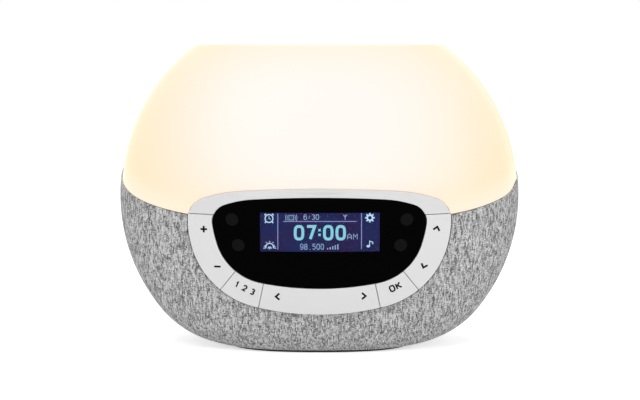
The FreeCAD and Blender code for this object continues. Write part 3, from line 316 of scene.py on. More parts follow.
class Shader(Nodes):
    """One material."""

    def __init__(self, name: str) -> None:
        self.material = bpy.data.materials.new(name)
        self.material.use_nodes = True
        super().__init__(self.material.node_tree)

    def mix(self, share, first, second) -> Socket:
        """A mixture of two colours."""
        made = self.tree.nodes.new("ShaderNodeMix")
        made.data_type = "RGBA"
        self.feed(made.inputs[0], share)
        self.feed(made.inputs[6], first)
        self.feed(made.inputs[7], second)
        return made.outputs[2]

    def place(self) -> Socket:
        """The shaded point in the piece's own frame."""
        return self.node("ShaderNodeTexCoord").outputs["Object"]

    def split(self, vector: Socket) -> Tuple[Socket, ...]:
        """The x, y and z of a vector."""
        return tuple(self.node("ShaderNodeSeparateXYZ", Vector=vector).outputs)

    def noise(self, vector, scale: float, detail: float = 2.0) -> Socket:
        """Soft noise from zero to one."""
        return self.node("ShaderNodeTexNoise", Vector=vector, Scale=scale, Detail=detail).outputs["Fac"]

    def finish(self, surface: Node) -> Material:
        """Links the surface and hands over the material."""
        self.node("ShaderNodeOutputMaterial", Surface=surface.outputs[0])
        return self.material

    def plastic(self, colour, roughness: float, specular: float = 0.5, **more) -> Node:
        """A principled surface; more names its other inputs."""
        return self.node("ShaderNodeBsdfPrincipled", Base_Color=colour, Roughness=roughness,
                         Specular_IOR_Level=specular, **more)


@dataclass(frozen=True)
class Finish:
    """A plain surface with a fine grain.

    Attributes:
        colour: linear base colour.
        metallic: one for bare metal.
        grain, grain_depth: size and height of the surface's texture in metres.
        coat: share of a clear coat.
        specular: strength of the plain gloss.
    """

    colour: Colour
    roughness: float = 0.45
    metallic: float = 0.0
    grain: float = 0.0004
    grain_depth: float = 0.00001
    coat: float = 0.0
    specular: float = 0.5

    def material(self, name: str) -> Material:
        """Makes the finish's material."""
        shader = Shader(name)
        height = shader.noise(shader.place(), 1.0 / self.grain)
        bump = shader.node("ShaderNodeBump", Height=height, Distance=self.grain_depth, Strength=0.6)
        return shader.finish(shader.plastic(
            self.colour, self.roughness, self.specular, Metallic=self.metallic, Coat_Weight=self.coat,
            Coat_Roughness=0.08, Normal=bump.outputs["Normal"]))


@dataclass(frozen=True)
class Glow:
    """A lit drawing on the display, or a lamp."""

    colour: Colour
    strength: float = 1.0

    def material(self, name: str) -> Material:
        """Makes the glowing material."""
        shader = Shader(name)
        return shader.finish(shader.plastic((0.0, 0.0, 0.0), 0.5, Emission_Color=self.colour,
                                            Emission_Strength=self.strength))


@dataclass(frozen=True)
class OpalGlow:
    """The dome: satin opal plastic lit from inside, whitest in the middle and warmer towards the edges.

    Attributes:
        middle, edge, rim: the glow's colours.
        body: the plastic's own colour.
        centre_level: the height of the glow's middle.
        reach: half sizes of the glow, across and up.
        power: exponent of the superellipse that the glow fades along.
        up_weight: how much of the fading the height brings.
        fade: where the fading starts and ends, as shares of the reach.
        rim_band: where the rim's colour starts and ends, above the tilted rim plane.
    """

    middle: Colour = (0.86, 0.745, 0.695)
    edge: Colour = (0.85, 0.645, 0.40)
    rim: Colour = (0.85, 0.715, 0.55)
    body: Colour = (0.18, 0.175, 0.165)
    centre_level: float = 0.118
    reach: Tuple[float, float] = (0.098, 0.058)
    power: float = 2.6
    up_weight: float = 0.8
    fade: Tuple[float, float] = (0.20, 1.10)
    rim_band: Tuple[float, float] = (0.014, -0.002)

    def material(self, name: str) -> Material:
        """Makes the dome's material: the glow's colour follows the distance from the lamps' middle."""
        shader = Shader(name)
        x, y, z = shader.split(shader.place())
        powers = []
        for value, reach in ((x, self.reach[0]), (shader.less(z, self.centre_level), self.reach[1])):
            share = shader.maths("ABSOLUTE", shader.maths("DIVIDE", value, reach))
            powers.append(shader.maths("POWER", share, self.power))
        distance = shader.maths("SQRT", shader.add(powers[0], shader.times(powers[1], self.up_weight)))
        far = shader.smooth_step(distance, *self.fade)
        colour = shader.mix(far, self.middle, self.edge)
        slope = shader.add(shader.times(y, -BODY.rim_slope), z)
        near_rim = shader.smooth_step(slope, *(BODY.rim_level + lift for lift in self.rim_band))
        colour = shader.mix(shader.times(near_rim, far), colour, self.rim)
        return shader.finish(shader.plastic(self.body, 0.38, 0.2, Emission_Color=colour,
                                            Emission_Strength=1.0))


@dataclass(frozen=True)
class Weave:
    """The cover's cloth: a plain weave of heathered yarns.

    Attributes:
        pitch: the distance between yarns in metres.
        slub: the length over which a yarn keeps its shade.
        weft_ratio: how many times faster a level yarn changes its shade.
        yarn_step: how far apart two yarns' places in the noise are.
        shade_span: the noise values that give the darkest and the lightest yarn.
        streak: how far the upright yarns' shade shows through the level ones.
        speck: how far the shade differs from one crossing to the next.
        light, dark: shades of the lightest and the darkest yarn.
        depth: height of a crossing.
        crown: how fast a crossing falls away from its middle.
        crevice_shade: how far the corners between yarns are darkened with painted shade.
    """

    pitch: float = 0.00064
    slub: float = 0.0036
    weft_ratio: float = 1.6
    yarn_step: float = 1.37
    shade_span: Tuple[float, float] = (0.34, 0.66)
    streak: float = 0.42
    speck: float = 0.45
    light: Colour = (0.78, 0.78, 0.775)
    dark: Colour = (0.10, 0.10, 0.105)
    depth: float = 0.00025
    crown: float = 1.6
    crevice_shade: float = 1.1

    def material(self, name: str) -> Material:
        """Makes the cloth: upright yarns pass over where the cell numbers' sum is odd."""
        shader = Shader(name)
        flat = shader.split(shader.node("ShaderNodeUVMap").outputs[0])
        u, v = (shader.maths("DIVIDE", value, self.pitch) for value in flat[:2])
        column, row = shader.maths("FLOOR", u), shader.maths("FLOOR", v)
        over = shader.maths("ABSOLUTE", shader.maths("MODULO", shader.add(column, row), 2.0))
        ratio = self.pitch / self.slub
        warp = self._yarn(shader, column, shader.times(v, ratio), 3.7)
        weft = self._yarn(shader, row, shader.times(u, ratio * self.weft_ratio), 9.1)
        crossing = shader.node("ShaderNodeMix", Factor=over, A=weft, B=warp).outputs[0]
        shade = shader.node("ShaderNodeMix", Factor=self.streak, A=crossing, B=warp).outputs[0]
        cell = shader.node("ShaderNodeCombineXYZ", X=column, Y=row).outputs[0]
        speck = shader.tree.nodes.new("ShaderNodeTexWhiteNoise")
        speck.noise_dimensions = "2D"
        shader.feed(speck.inputs["Vector"], cell)
        shade = shader.add(shade, shader.times(shader.less(speck.outputs[0], 0.5), self.speck))
        squares = [shader.maths("POWER", shader.less(shader.maths("FRACT", value), 0.5), 2.0)
                   for value in (u, v)]
        radius = shader.add(*squares)
        crown = shader.less(1.0, shader.times(radius, self.crown))
        colour = shader.mix(shader.times(shade, 1.0, True), self.dark, self.light)
        # Painted shade: the corners between yarns are darkened towards the dark yarn colour.
        colour = shader.mix(shader.times(radius, self.crevice_shade, True), colour, self.dark)
        bump = shader.node("ShaderNodeBump", Height=crown, Distance=self.depth, Strength=0.8)
        return shader.finish(shader.plastic(colour, 0.92, 0.25, Normal=bump.outputs["Normal"]))

    def _yarn(self, shader: Shader, number, along, seed: float) -> Socket:
        """A yarn's shade: noise that changes quickly from yarn to yarn and slowly along each."""
        across = shader.times(number, self.yarn_step)
        vector = shader.node("ShaderNodeCombineXYZ", X=across, Y=along, Z=seed).outputs[0]
        return shader.smooth_step(shader.noise(vector, 1.0, 3.0), *self.shade_span)


@dataclass(frozen=True)
class PrintedWindow:
    """The lens: clear over the display's lit field and black behind the gloss everywhere else."""

    middle: Tuple[float, float] = (0.00025, 0.0655)
    half: Tuple[float, float] = (0.0304, 0.0101)
    black: Colour = (0.0007, 0.0007, 0.0008)
    gloss: float = 0.008
    clear_gloss: float = 0.001

    def material(self, name: str) -> Material:
        """Makes the lens's material, masked by a rectangle seen from the front."""
        shader = Shader(name)
        x, _, z = shader.split(shader.place())
        masks = []
        for value, middle, half in zip((x, z), self.middle, self.half):
            offset = shader.maths("ABSOLUTE", shader.less(value, middle))
            masks.append(shader.maths("LESS_THAN", offset, half))
        black = shader.plastic(self.black, 0.06, self.gloss)
        clear = shader.node("ShaderNodeBsdfTransparent", Color=(0.97, 0.97, 0.97))
        gloss = shader.node("ShaderNodeBsdfGlossy", Color=(1.0, 1.0, 1.0), Roughness=0.05)
        lens = shader.blend(self.clear_gloss, clear, gloss)
        return shader.finish(shader.blend(shader.times(*masks), black, lens))


@dataclass(frozen=True)
class DisplayField:
    """The liquid-crystal panel: a blue glow with violet patches."""

    blue: Colour = (0.014, 0.020, 0.090)
    violet: Colour = (0.022, 0.014, 0.074)

    def material(self, name: str) -> Material:
        """Makes the panel's material."""
        shader = Shader(name)
        patch = shader.smooth_step(shader.noise(shader.place(), 55.0, 1.0), 0.35, 0.65)
        colour = shader.mix(patch, self.blue, self.violet)
        return shader.finish(shader.plastic((0.004, 0.004, 0.010), 0.3, 0.02, Emission_Color=colour,
                                            Emission_Strength=1.0))


class Paint(Enum):
    """The finishes of the CAD nodes."""

    DOME = OpalGlow()
    FABRIC = Weave()
    WINDOW = PrintedWindow()
    PANEL = DisplayField()
    GREY = Finish((0.655, 0.655, 0.66), 0.42, grain=0.0003, grain_depth=0.000006)
    # The hood is the keys' pale grey plastic, painted a little darker as shade.
    HOOD = Finish((0.635, 0.635, 0.64), 0.42, grain=0.0003, grain_depth=0.000006)
    SHELL = Finish((0.075, 0.078, 0.082), 0.6)
    DARK = Finish((0.012, 0.012, 0.013), 0.5)
    RUBBER = Finish((0.010, 0.010, 0.010), 0.8, grain=0.0006, grain_depth=0.00003)
    STEEL = Finish((0.55, 0.56, 0.58), 0.3, metallic=1.0)
    BASKET = Finish((0.35, 0.36, 0.38), 0.4, metallic=1.0)
    ALUMINIUM = Finish((0.76, 0.77, 0.78), 0.36, metallic=1.0)
    BRASS = Finish((0.72, 0.60, 0.32), 0.3, metallic=1.0)
    GLOSS = Finish((0.0018, 0.0018, 0.002), 0.16, specular=0.05)
    BOARD = Finish((0.010, 0.085, 0.030), 0.4, coat=0.3)
    WHITE = Finish((0.82, 0.82, 0.80), 0.35)
    CHIP = Finish((0.010, 0.010, 0.010), 0.5)
    CONE = Finish((0.012, 0.012, 0.013), 0.85, grain=0.0009, grain_depth=0.00006)
    DIFFUSER = Finish((0.55, 0.56, 0.62), 0.5)
    LAMP = Glow((1.0, 0.82, 0.50), 6.0)


PAINTED: Dict[Paint, Tuple[str, ...]] = {
    Paint.DOME: ("diffuser_dome",),
    Paint.SHELL: ("base_shell",),
    Paint.DARK: ("base_plate", "lcd_holder", "dc_socket"),
    Paint.RUBBER: ("foot_ring", "aerial_bush"),
    Paint.HOOD: ("panel_frame",),
    Paint.WINDOW: ("display_window",),
    Paint.GREY: ("pod_back_cover", "rear_panel"),
    Paint.CHIP: ("switch_bodies", "control_chips", "power_parts"),
    Paint.BOARD: ("control_board", "power_board"),
    Paint.PANEL: ("lcd_glass",),
    Paint.DIFFUSER: ("lcd_backlight",),
    Paint.WHITE: ("reflector_deck", "led_board"),
    Paint.LAMP: ("leds",),
    Paint.ALUMINIUM: ("heat_sink",),
    Paint.BASKET: ("speaker_frame", "speaker_magnet"),
    Paint.CONE: ("speaker_cone",),
    Paint.BRASS: ("dc_pin",),
}
WORD_PAINT: Sequence[Tuple[str, Paint]] = (
    ("_screws", Paint.STEEL),
    ("_key", Paint.GREY),
    ("_plunger", Paint.DARK),
    ("_button", Paint.GLOSS),
)


class PaintShop:
    """Gives every CAD node its finish and makes each material once."""

    def __init__(self, frame: dict) -> None:
        self.frame = frame
        self.made: Dict[Paint, Material] = {}

    def material(self, paint: Paint) -> Material:
        """The material of a finish."""
        if paint not in self.made:
            self.made[paint] = paint.value.material(paint.name.lower())
        return self.made[paint]

    def dress(self, piece: Piece, material: Material) -> None:
        """Puts one material on a piece."""
        piece.data.materials.clear()
        piece.data.materials.append(material)

    def paint_nodes(self) -> None:
        """Finishes the CAD nodes by name, or by the word their name holds."""
        by_name = {name: paint for paint, names in PAINTED.items() for name in names}
        for name, node in self.frame["nodes"].items():
            paint = by_name.get(name)
            for word, other in WORD_PAINT:
                if paint is None and word in name:
                    paint = other
            if paint is not None:
                self.dress(node, self.material(paint))
            elif name != "fabric_sleeve":
                LOG.warning("no finish for %s", name)


# The woven cover


@dataclass(frozen=True)
class WovenCover:
    """The fabric on the bowl, one parametric sheet with its edges turned in.

    Attributes:
        columns, rows: points round the body, and from the foot to the rim.
        foot_level: where the cloth goes under the base plate.
        rim_lift: how far the cloth's edge is above the rim plane.
        edge: how far the turned edge goes in.
        pod_gap: clearance round the pod.
        rear_half, rear_level, rear_squareness: the rear opening's half sizes, middle and exponent.
    """

    columns: int = 600
    rows: int = 116
    foot_level: float = 0.0015
    rim_lift: float = 0.00015
    edge: float = 0.0008
    pod_gap: float = 0.0005
    rear_half: Tuple[float, float] = (0.0536, 0.0256)
    rear_level: float = 0.050
    rear_squareness: float = 3.2

    def build(self) -> Piece:
        """Makes the cover. Its UV map holds the place on the flat cloth in metres."""
        turn = self._even_turns()
        rim = BODY.rim_at(turn, self.rim_lift)
        share = np.linspace(0.0, 1.0, self.rows)[:, None]
        spread = 0.35 * share**2 + 0.65 * share
        level = self.foot_level + (rim[None, :] - self.foot_level) * spread
        turns = np.broadcast_to(turn, level.shape)
        points = BODY.points(turns, level)
        inner = BODY.points(turns, level, self.edge)
        flat = np.stack([self._way_round(points), self._climb(level)], axis=-1)
        faces = grid_faces(self.rows, self.columns)
        points, inner, flat = (array.reshape(-1, array.shape[-1]) for array in (points, inner, flat))
        keep = np.ones(len(faces), bool)
        near_pod = np.abs(points[:, 0]) < POD.half_width + 0.004
        front = np.flatnonzero((points[:, 1] < BODY.shift) & near_pod)
        distance, spots = self._signed_distance(points[front][:, [0, 2]], POD.closed(-self.pod_gap))
        inside = np.zeros(len(points), bool)
        inside[front] = distance < 0
        nearest = np.zeros((len(points), 2))
        nearest[front] = spots
        keep &= inside[faces].sum(axis=1) < 3
        rear = (points[:, 1] > BODY.shift) & (self._rear_measure(points) < 1.0)
        keep &= ~rear[faces].all(axis=1)
        faces = faces[keep]
        points, inner = self._snap(points, inner, faces, inside, nearest)
        points, faces, flat = self._turn_in(points, inner, faces, flat)
        cover = mesh_object("woven_cover", points, faces)
        set_plane_coordinates(cover, flat)
        return cover

    def _even_turns(self) -> np.ndarray:
        """Angles that space points evenly round the widest level."""
        fine = np.linspace(-math.pi, math.pi, 6001)
        length = running_length(BODY.points(fine, np.full_like(fine, BODY.widest)))
        return np.interp(np.arange(self.columns) / self.columns * length[-1], length, fine)

    def _way_round(self, points: np.ndarray) -> np.ndarray:
        """The length round the body at each point's own level, from the middle of the front."""
        length = running_length(points)
        middle = self.columns // 2
        return length - length[:, middle:middle + 1]

    def _climb(self, level: np.ndarray) -> np.ndarray:
        """The length along the side from the foot up to a level."""
        fine = np.linspace(self.foot_level, BODY.top, 900)
        side = np.stack([fine, BODY.half_width_at(fine)], axis=-1)
        return np.interp(level, fine, running_length(side))

    def _rear_measure(self, points: np.ndarray) -> np.ndarray:
        """Below one inside the rear panel's superelliptic opening."""
        x = np.abs(points[:, 0] / self.rear_half[0]) ** self.rear_squareness
        z = np.abs((points[:, 2] - self.rear_level) / self.rear_half[1]) ** self.rear_squareness
        return x + z

    @staticmethod
    def _signed_distance(places: np.ndarray, outline: np.ndarray) -> Tuple[np.ndarray, np.ndarray]:
        """Distance from each place to a closed outline, below zero inside, and its nearest point."""
        start = outline[None]
        side = np.roll(outline, -1, axis=0)[None] - start
        offset = places[:, None] - start
        reach = (offset * side).sum(axis=2) / np.maximum((side**2).sum(axis=2), 1e-18)
        spots = start + np.clip(reach, 0.0, 1.0)[..., None] * side
        gaps = np.linalg.norm(places[:, None] - spots, axis=2)
        best = gaps.argmin(axis=1)
        every = np.arange(len(places))
        rise = np.where(np.abs(side[..., 1]) > 1e-12, side[..., 1], 1e-12)
        spans = (offset[..., 1] < 0) != (offset[..., 1] < side[..., 1])
        crossings = (spans & (offset[..., 0] < offset[..., 1] * side[..., 0] / rise)).sum(axis=1)
        distance = gaps[every, best]
        return np.where(crossings % 2 == 1, -distance, distance), spots[every, best]

    @staticmethod
    def _snap(points, inner, faces, inside, nearest) -> Tuple[np.ndarray, np.ndarray]:
        """Moves the kept faces' corners that lie inside the pod's opening onto its edge."""
        used = np.zeros(len(points), bool)
        used[faces.ravel()] = True
        moved = used & inside
        points, inner = points.copy(), inner.copy()
        for array, inset in ((points, 0.0), (inner, WovenCover.edge)):
            x, z = nearest[moved, 0], nearest[moved, 1]
            width = BODY.half_width_at(z, inset)
            depth = BODY.half_depth_at(z, inset)
            power = BODY.squareness
            y = -depth * (1 - np.abs(x / width) ** power) ** (1 / power) + BODY.shift
            array[moved] = np.stack([x, y, z], axis=-1)
        return points, inner

    @staticmethod
    def _turn_in(points, inner, faces, flat) -> Tuple[np.ndarray, ...]:
        """Adds a strip inwards along every open edge."""
        edges = np.concatenate([faces[:, [a, (a + 1) % 4]] for a in range(4)])
        key = np.sort(edges, axis=1)
        _, first, counts = np.unique(key, axis=0, return_index=True, return_counts=True)
        border = edges[first[counts == 1]]
        offset = len(points)
        start, end = border.T
        strip = np.stack([end, start, start + offset, end + offset], axis=-1)
        everything = np.concatenate([faces, strip])
        used, packed = np.unique(everything, return_inverse=True)
        points = np.concatenate([points, inner])[used]
        flat = np.concatenate([flat, flat])[used]
        return points, packed.reshape(-1, 4), flat


# Drawn strokes


def line(*corners: Tuple[float, float]) -> Path:
    """A path with straight sides."""
    return np.array(corners, float)


def arc(x: float, z: float, width: float, height: float, start: float, end: float) -> Path:
    """Part of an ellipse about (x, z), between angles in degrees, counter-clockwise from the right."""
    count = max(4, int(abs(end - start) / 9) + 1)
    angle = np.radians(np.linspace(start, end, count))
    return np.stack([x + width / 2 * np.cos(angle), z + height / 2 * np.sin(angle)], axis=-1)


def round_box(x: float, z: float, width: float, height: float, power: float = 3.0) -> Path:
    """A closed superellipse about (x, z)."""
    angle = np.linspace(0.0, 2 * math.pi, 41)
    cosine, sine = np.cos(angle), np.sin(angle)
    return np.stack([x + width / 2 * np.sign(cosine) * np.abs(cosine) ** (2 / power),
                     z + height / 2 * np.sign(sine) * np.abs(sine) ** (2 / power)], axis=-1)


GLYPHS: Dict[str, List[Path]] = {
    "0": [round_box(0.5, 0.5, 1.0, 1.0)],
    "1": [line((0.2, 0.8), (0.55, 1.0), (0.55, 0.0))],
    "2": [np.concatenate([arc(0.5, 0.7, 1.0, 0.6, 165, -35), line((0.0, 0.0), (1.0, 0.0))])],
    "3": [np.concatenate([arc(0.47, 0.75, 0.9, 0.5, 150, -90), arc(0.47, 0.25, 1.0, 0.5, 90, -150)])],
    "5": [np.concatenate([line((0.95, 1.0), (0.1, 1.0), (0.05, 0.58)),
                          arc(0.45, 0.33, 1.05, 0.66, 110, -150)])],
    "6": [round_box(0.5, 0.3, 1.0, 0.6),
          np.concatenate([line((0.0, 0.3)), arc(0.5, 0.65, 1.0, 0.7, 170, 30)])],
    "7": [line((0.0, 1.0), (1.0, 1.0), (0.42, 0.0))],
    "8": [round_box(0.5, 0.75, 0.86, 0.5), round_box(0.5, 0.25, 1.0, 0.5)],
    "9": [round_box(0.5, 0.7, 1.0, 0.6),
          np.concatenate([line((1.0, 0.7)), arc(0.5, 0.35, 1.0, 0.7, -10, -150)])],
    ".": [line((0.35, 0.0), (0.65, 0.0))],
    ":": [line((0.3, 0.68), (0.7, 0.68)), line((0.3, 0.32), (0.7, 0.32))],
    "O": [round_box(0.5, 0.5, 1.0, 1.0, 3.4)],
    "A": [line((0.0, 0.0), (0.0, 0.7), (0.5, 1.0), (1.0, 0.7), (1.0, 0.0)),
          line((0.0, 0.4), (1.0, 0.4))],
    "M": [line((0.0, 0.0), (0.0, 1.0), (0.5, 0.5), (1.0, 1.0), (1.0, 0.0))],
    "K": [line((0.0, 1.0), (0.0, 0.0)), line((0.95, 1.0), (0.05, 0.45)), line((0.25, 0.6), (1.0, 0.0))],
}


def word_paths(words: str, width: float, height: float, pitch: float) -> List[Path]:
    """The strokes of a word whose lower left corner is at zero. GLYPHS holds its characters."""
    return [path * np.array([width, height]) + np.array([number * pitch, 0.0])
            for number, letter in enumerate(words) for path in GLYPHS.get(letter, [])]


def turn_path(path: Path, degrees: float) -> Path:
    """A path turned counter-clockwise about zero, as seen from the front."""
    turn = math.radians(degrees)
    return path @ np.array([[math.cos(turn), math.sin(turn)], [-math.sin(turn), math.cos(turn)]])


def ribbon(path: Path, width: float) -> Tuple[np.ndarray, np.ndarray]:
    """A flat band of one width along a path, mitred at its corners: its points and its quads."""
    fresh = np.linalg.norm(np.diff(path, axis=0), axis=1) > 1e-9
    path = path[np.concatenate([[True], fresh])]
    closed = bool(np.allclose(path[0], path[-1]))
    centre = path[:-1] if closed else path
    before = np.roll(centre, 1, axis=0)
    after = np.roll(centre, -1, axis=0)
    if not closed:
        before[0] = 2 * centre[0] - centre[1]
        after[-1] = 2 * centre[-1] - centre[-2]
    along_in = (centre - before) / np.linalg.norm(centre - before, axis=1, keepdims=True)
    along_out = (after - centre) / np.linalg.norm(after - centre, axis=1, keepdims=True)
    normal_in = np.stack([-along_in[:, 1], along_in[:, 0]], axis=-1)
    normal_out = np.stack([-along_out[:, 1], along_out[:, 0]], axis=-1)
    mitre = normal_in + normal_out
    mitre /= np.maximum((mitre * normal_in).sum(axis=1, keepdims=True), 0.35)
    points = np.concatenate([centre - mitre * width / 2, centre + mitre * width / 2])
    count = len(centre)
    here = np.arange(count if closed else count - 1)
    there = (here + 1) % count
    return points, np.stack([here, there, there + count, here + count], axis=-1)


@dataclass
class Drawing:
    """Strokes in a plane seen from the front, gathered into one mesh."""

    points: List[np.ndarray] = field(default_factory=list)
    faces: List[np.ndarray] = field(default_factory=list)
    count: int = 0

    def stroke(self, path: Path, width: float) -> None:
        """Adds one band, in millimetres."""
        points, faces = ribbon(path, width)
        self.points.append(points)
        self.faces.append(faces + self.count)
        self.count += len(points)

    def fill(self, path: Path) -> None:
        """Adds a filled round shape: rings of quads between the outline and its middle."""
        rim = path[:-1] if np.allclose(path[0], path[-1]) else path
        middle = rim.mean(axis=0)
        points = np.concatenate([rim, middle + (rim - middle) * 0.02])
        number = len(rim)
        here = np.arange(number)
        there = (here + 1) % number
        self.points.append(points)
        self.faces.append(np.stack([here, there, there + number, here + number], axis=-1) + self.count)
        self.count += len(points)

    def text(self, words: str, x: float, z: float, width: float, height: float, pitch: float,
             stroke: float) -> None:
        """Adds words whose lower left corner is at (x, z). The sizes are those of one character."""
        for path in word_paths(words, width, height, pitch):
            self.stroke(path + np.array([x, z]), stroke)

    def build(self, name: str, depth: Callable[..., np.ndarray]) -> Piece:
        """Makes the mesh on a surface given by its depth at x and z, both in metres."""
        flat = np.concatenate(self.points) * MM
        points = np.stack([flat[:, 0], depth(flat[:, 0], flat[:, 1]), flat[:, 1]], axis=-1)
        return mesh_object(name, points, np.concatenate(self.faces), smooth=False)


@dataclass(frozen=True)
class DisplayDrawing:
    """The lit drawing on the display, in millimetres from the body's middle line and the table."""

    front: float = 0.0573
    lift: float = 0.00008

    def depth(self, x: np.ndarray, z: np.ndarray) -> np.ndarray:
        """The panel is flat."""
        return np.full_like(x, -self.front - self.lift + BODY.shift)

    def digits(self) -> Drawing:
        """The time."""
        drawing = Drawing()
        for letter, left in (("0", -12.35), ("7", -6.3), ("0", 2.55), ("0", 8.9)):
            drawing.text(letter, left, 61.55, 3.9, 6.45, 0.0, 1.45)
        for level in (66.1, 63.7):
            drawing.stroke(line((-0.55, level), (0.65, level)), 1.2)
        return drawing

    def rules(self) -> Drawing:
        """The lines between the fields."""
        drawing = Drawing()
        drawing.stroke(line((-21.2, 56.2), (-21.2, 74.6)), 0.45)
        drawing.stroke(line((21.45, 56.5), (21.45, 74.8)), 0.45)
        drawing.stroke(line((-18.5, 70.55), (18.9, 70.55)), 0.42)
        return drawing

    def small_text(self) -> Drawing:
        """The thin characters: alarm state, half of the day, station and its level bars."""
        drawing = Drawing()
        thin = 0.34
        drawing.text("6:30", -7.9, 71.55, 1.40, 2.45, 2.05, thin)
        drawing.text("AM", 14.3, 61.4, 2.0, 2.7, 3.0, thin)
        drawing.text("98.500", -9.7, 56.25, 1.35, 2.7, 2.1, thin)
        for number in range(5):
            left = 4.2 + number * 1.3
            drawing.stroke(line((left, 56.2), (left, 56.9 + 0.5 * number)), 0.6)
        self._aerial(drawing, 13.1, 72.65, thin)
        self._bell(drawing, -14.35, 72.45, 0.62, 0.32)
        for middle in (180, 0):
            for reach in (2.1, 2.9):
                wave = arc(-14.35, 72.45, 2 * reach, 2.4 * reach, middle - 28, middle + 28)
                drawing.stroke(wave, 0.3)
        return drawing

    def icons(self) -> Drawing:
        """The four large symbols: alarm, sunrise lamp, gear and note."""
        drawing = Drawing()
        self._bell(drawing, -25.65, 72.05, 1.0, 0.55)
        self._lamp(drawing, -25.35, 57.3)
        self._gear(drawing, 25.7, 72.45)
        drawing.fill(arc(24.9, 57.9, 1.7, 1.3, 0, 360))
        drawing.stroke(line((25.6, 57.9), (25.6, 60.5), (27.2, 60.0), (27.2, 58.9)), 0.4)
        return drawing

    @staticmethod
    def _bell(drawing: Drawing, x: float, z: float, scale: float, stroke: float) -> None:
        """A round alarm clock with two bells, two feet and hands."""
        drawing.stroke(arc(x, z, 4.0 * scale, 4.0 * scale, 0, 360), stroke)
        for side in (-1, 1):
            drawing.stroke(arc(x, z, 5.7 * scale, 5.7 * scale, 90 - side * 32, 90 - side * 55), stroke)
            near = (x + side * 1.6 * scale, z - 1.7 * scale)
            far = (x + side * 2.1 * scale, z - 2.2 * scale)
            drawing.stroke(line(near, far), stroke * 1.3)
        hands = line((x, z + 1.1 * scale), (x, z), (x + 0.9 * scale, z - 0.4 * scale))
        drawing.stroke(hands, stroke * 0.6)

    @staticmethod
    def _lamp(drawing: Drawing, x: float, z: float) -> None:
        """A half sun over level lines, with rays and a bulb."""
        drawing.stroke(arc(x, z, 3.9, 4.2, -10, 190), 0.5)
        for angle in (55, 90, 125):
            turn = math.radians(angle)
            near = (x + 2.7 * math.cos(turn), z + 2.7 * math.sin(turn))
            far = (x + 3.3 * math.cos(turn), z + 3.3 * math.sin(turn))
            drawing.stroke(line(near, far), 0.4)
        for side in (-1, 1):
            for number, reach in enumerate((3.3, 2.9, 2.6)):
                level = z - 0.4 + 0.7 * number
                drawing.stroke(line((x + side * 2.1, level), (x + side * reach, level)), 0.35)
        zigzag = ((-1.0, -0.6), (-0.3, 0.2), (0.0, -0.9), (0.3, 0.2), (1.0, -0.6))
        drawing.stroke(line(*zigzag) + np.array([x, z]), 0.4)

    @staticmethod
    def _gear(drawing: Drawing, x: float, z: float) -> None:
        """A gear of eight teeth."""
        drawing.stroke(arc(x, z, 2.7, 2.7, 0, 360), 0.85)
        for number in range(8):
            turn = math.radians(45 * number)
            along = np.array([math.cos(turn), math.sin(turn)])
            drawing.stroke(np.array([x, z]) + np.outer([1.6, 2.45], along), 0.75)

    @staticmethod
    def _aerial(drawing: Drawing, x: float, z: float, stroke: float) -> None:
        """An aerial: a mast with two slanted arms."""
        drawing.stroke(line((x, z - 1.3), (x, z + 1.3)), stroke)
        drawing.stroke(line((x - 1.0, z + 1.3), (x, z + 0.2), (x + 1.0, z + 1.3)), stroke)


@dataclass(frozen=True)
class Legend:
    """One printed legend: strokes about its own middle, then turned and placed on a key."""

    name: str
    body: str
    x: float
    z: float
    tilt: float
    paths: Tuple[Path, ...]
    stroke: float = 1.0

    def build(self) -> Piece:
        """Makes the legend just in front of the crowned face."""
        drawing = Drawing()
        for path in self.paths:
            drawing.stroke(turn_path(path, self.tilt) + np.array([self.x, self.z]), self.stroke)
        return drawing.build(self.name, lambda x, z: FACE.depth(x, z) - 0.00003)


def words_about_middle(words: str, width: float, height: float, pitch: float) -> Tuple[Path, ...]:
    """The strokes of a short word about its own middle."""
    middle = np.array([(len(words) - 1) * pitch / 2 + width / 2, height / 2])
    return tuple(path - middle for path in word_paths(words, width, height, pitch))


HALF = 1.7
CHEVRON = (line((-HALF, -0.95), (0.0, 0.95), (HALF, -0.95)),)
LEGENDS: Sequence[Legend] = (
    Legend("legend_plus", "left_rocker", -59.0, 66.5, 0.0,
           (line((-HALF, 0.0), (HALF, 0.0)), line((0.0, -HALF), (0.0, HALF)))),
    Legend("legend_minus", "left_rocker", -52.2, 47.1, 0.0, (line((-HALF, 0.0), (HALF, 0.0)),)),
    Legend("legend_up", "right_rocker", 59.9, 66.8, -14.0, CHEVRON),
    Legend("legend_down", "right_rocker", 53.5, 47.4, 160.0, CHEVRON),
    Legend("legend_back", "bottom_rocker", -21.4, 31.8, 90.0, CHEVRON),
    Legend("legend_next", "bottom_rocker", 22.7, 32.1, -90.0, CHEVRON),
    Legend("legend_preset", "preset", -38.2, 36.0, -25.0,
           words_about_middle("1 2 3", 1.6, 2.8, 2.2), 0.78),
    Legend("legend_select", "select", 38.9, 36.6, 25.0,
           words_about_middle("OK", 2.3, 3.0, 3.6), 0.85),
)


# Studio


@dataclass(frozen=True)
class SoftBox:
    """A square area light aimed at a point."""

    name: str
    place: Tuple[float, float, float]
    side: float
    power: float
    aim: Tuple[float, float, float] = (0.0, 0.0, 0.08)

    def build(self) -> None:
        """Adds the light."""
        data = bpy.data.lights.new(self.name, "AREA")
        data.shape = "SQUARE"
        data.size = self.side
        data.energy = self.power
        lamp = bpy.data.objects.new(self.name, data)
        lamp.location = self.place
        lamp.rotation_euler = (Vector(self.aim) - Vector(self.place)).to_track_quat("-Z", "Y").to_euler()
        bpy.context.scene.collection.objects.link(lamp)


def looked_at(nodes: Nodes) -> Socket:
    """One for rays from the camera, off gloss and through glass, and zero for soft light."""
    rays = nodes.node("ShaderNodeLightPath").outputs
    seen = nodes.maths("MAXIMUM", rays["Is Camera Ray"], rays["Is Glossy Ray"])
    return nodes.maths("MAXIMUM", seen, rays["Is Transmission Ray"])


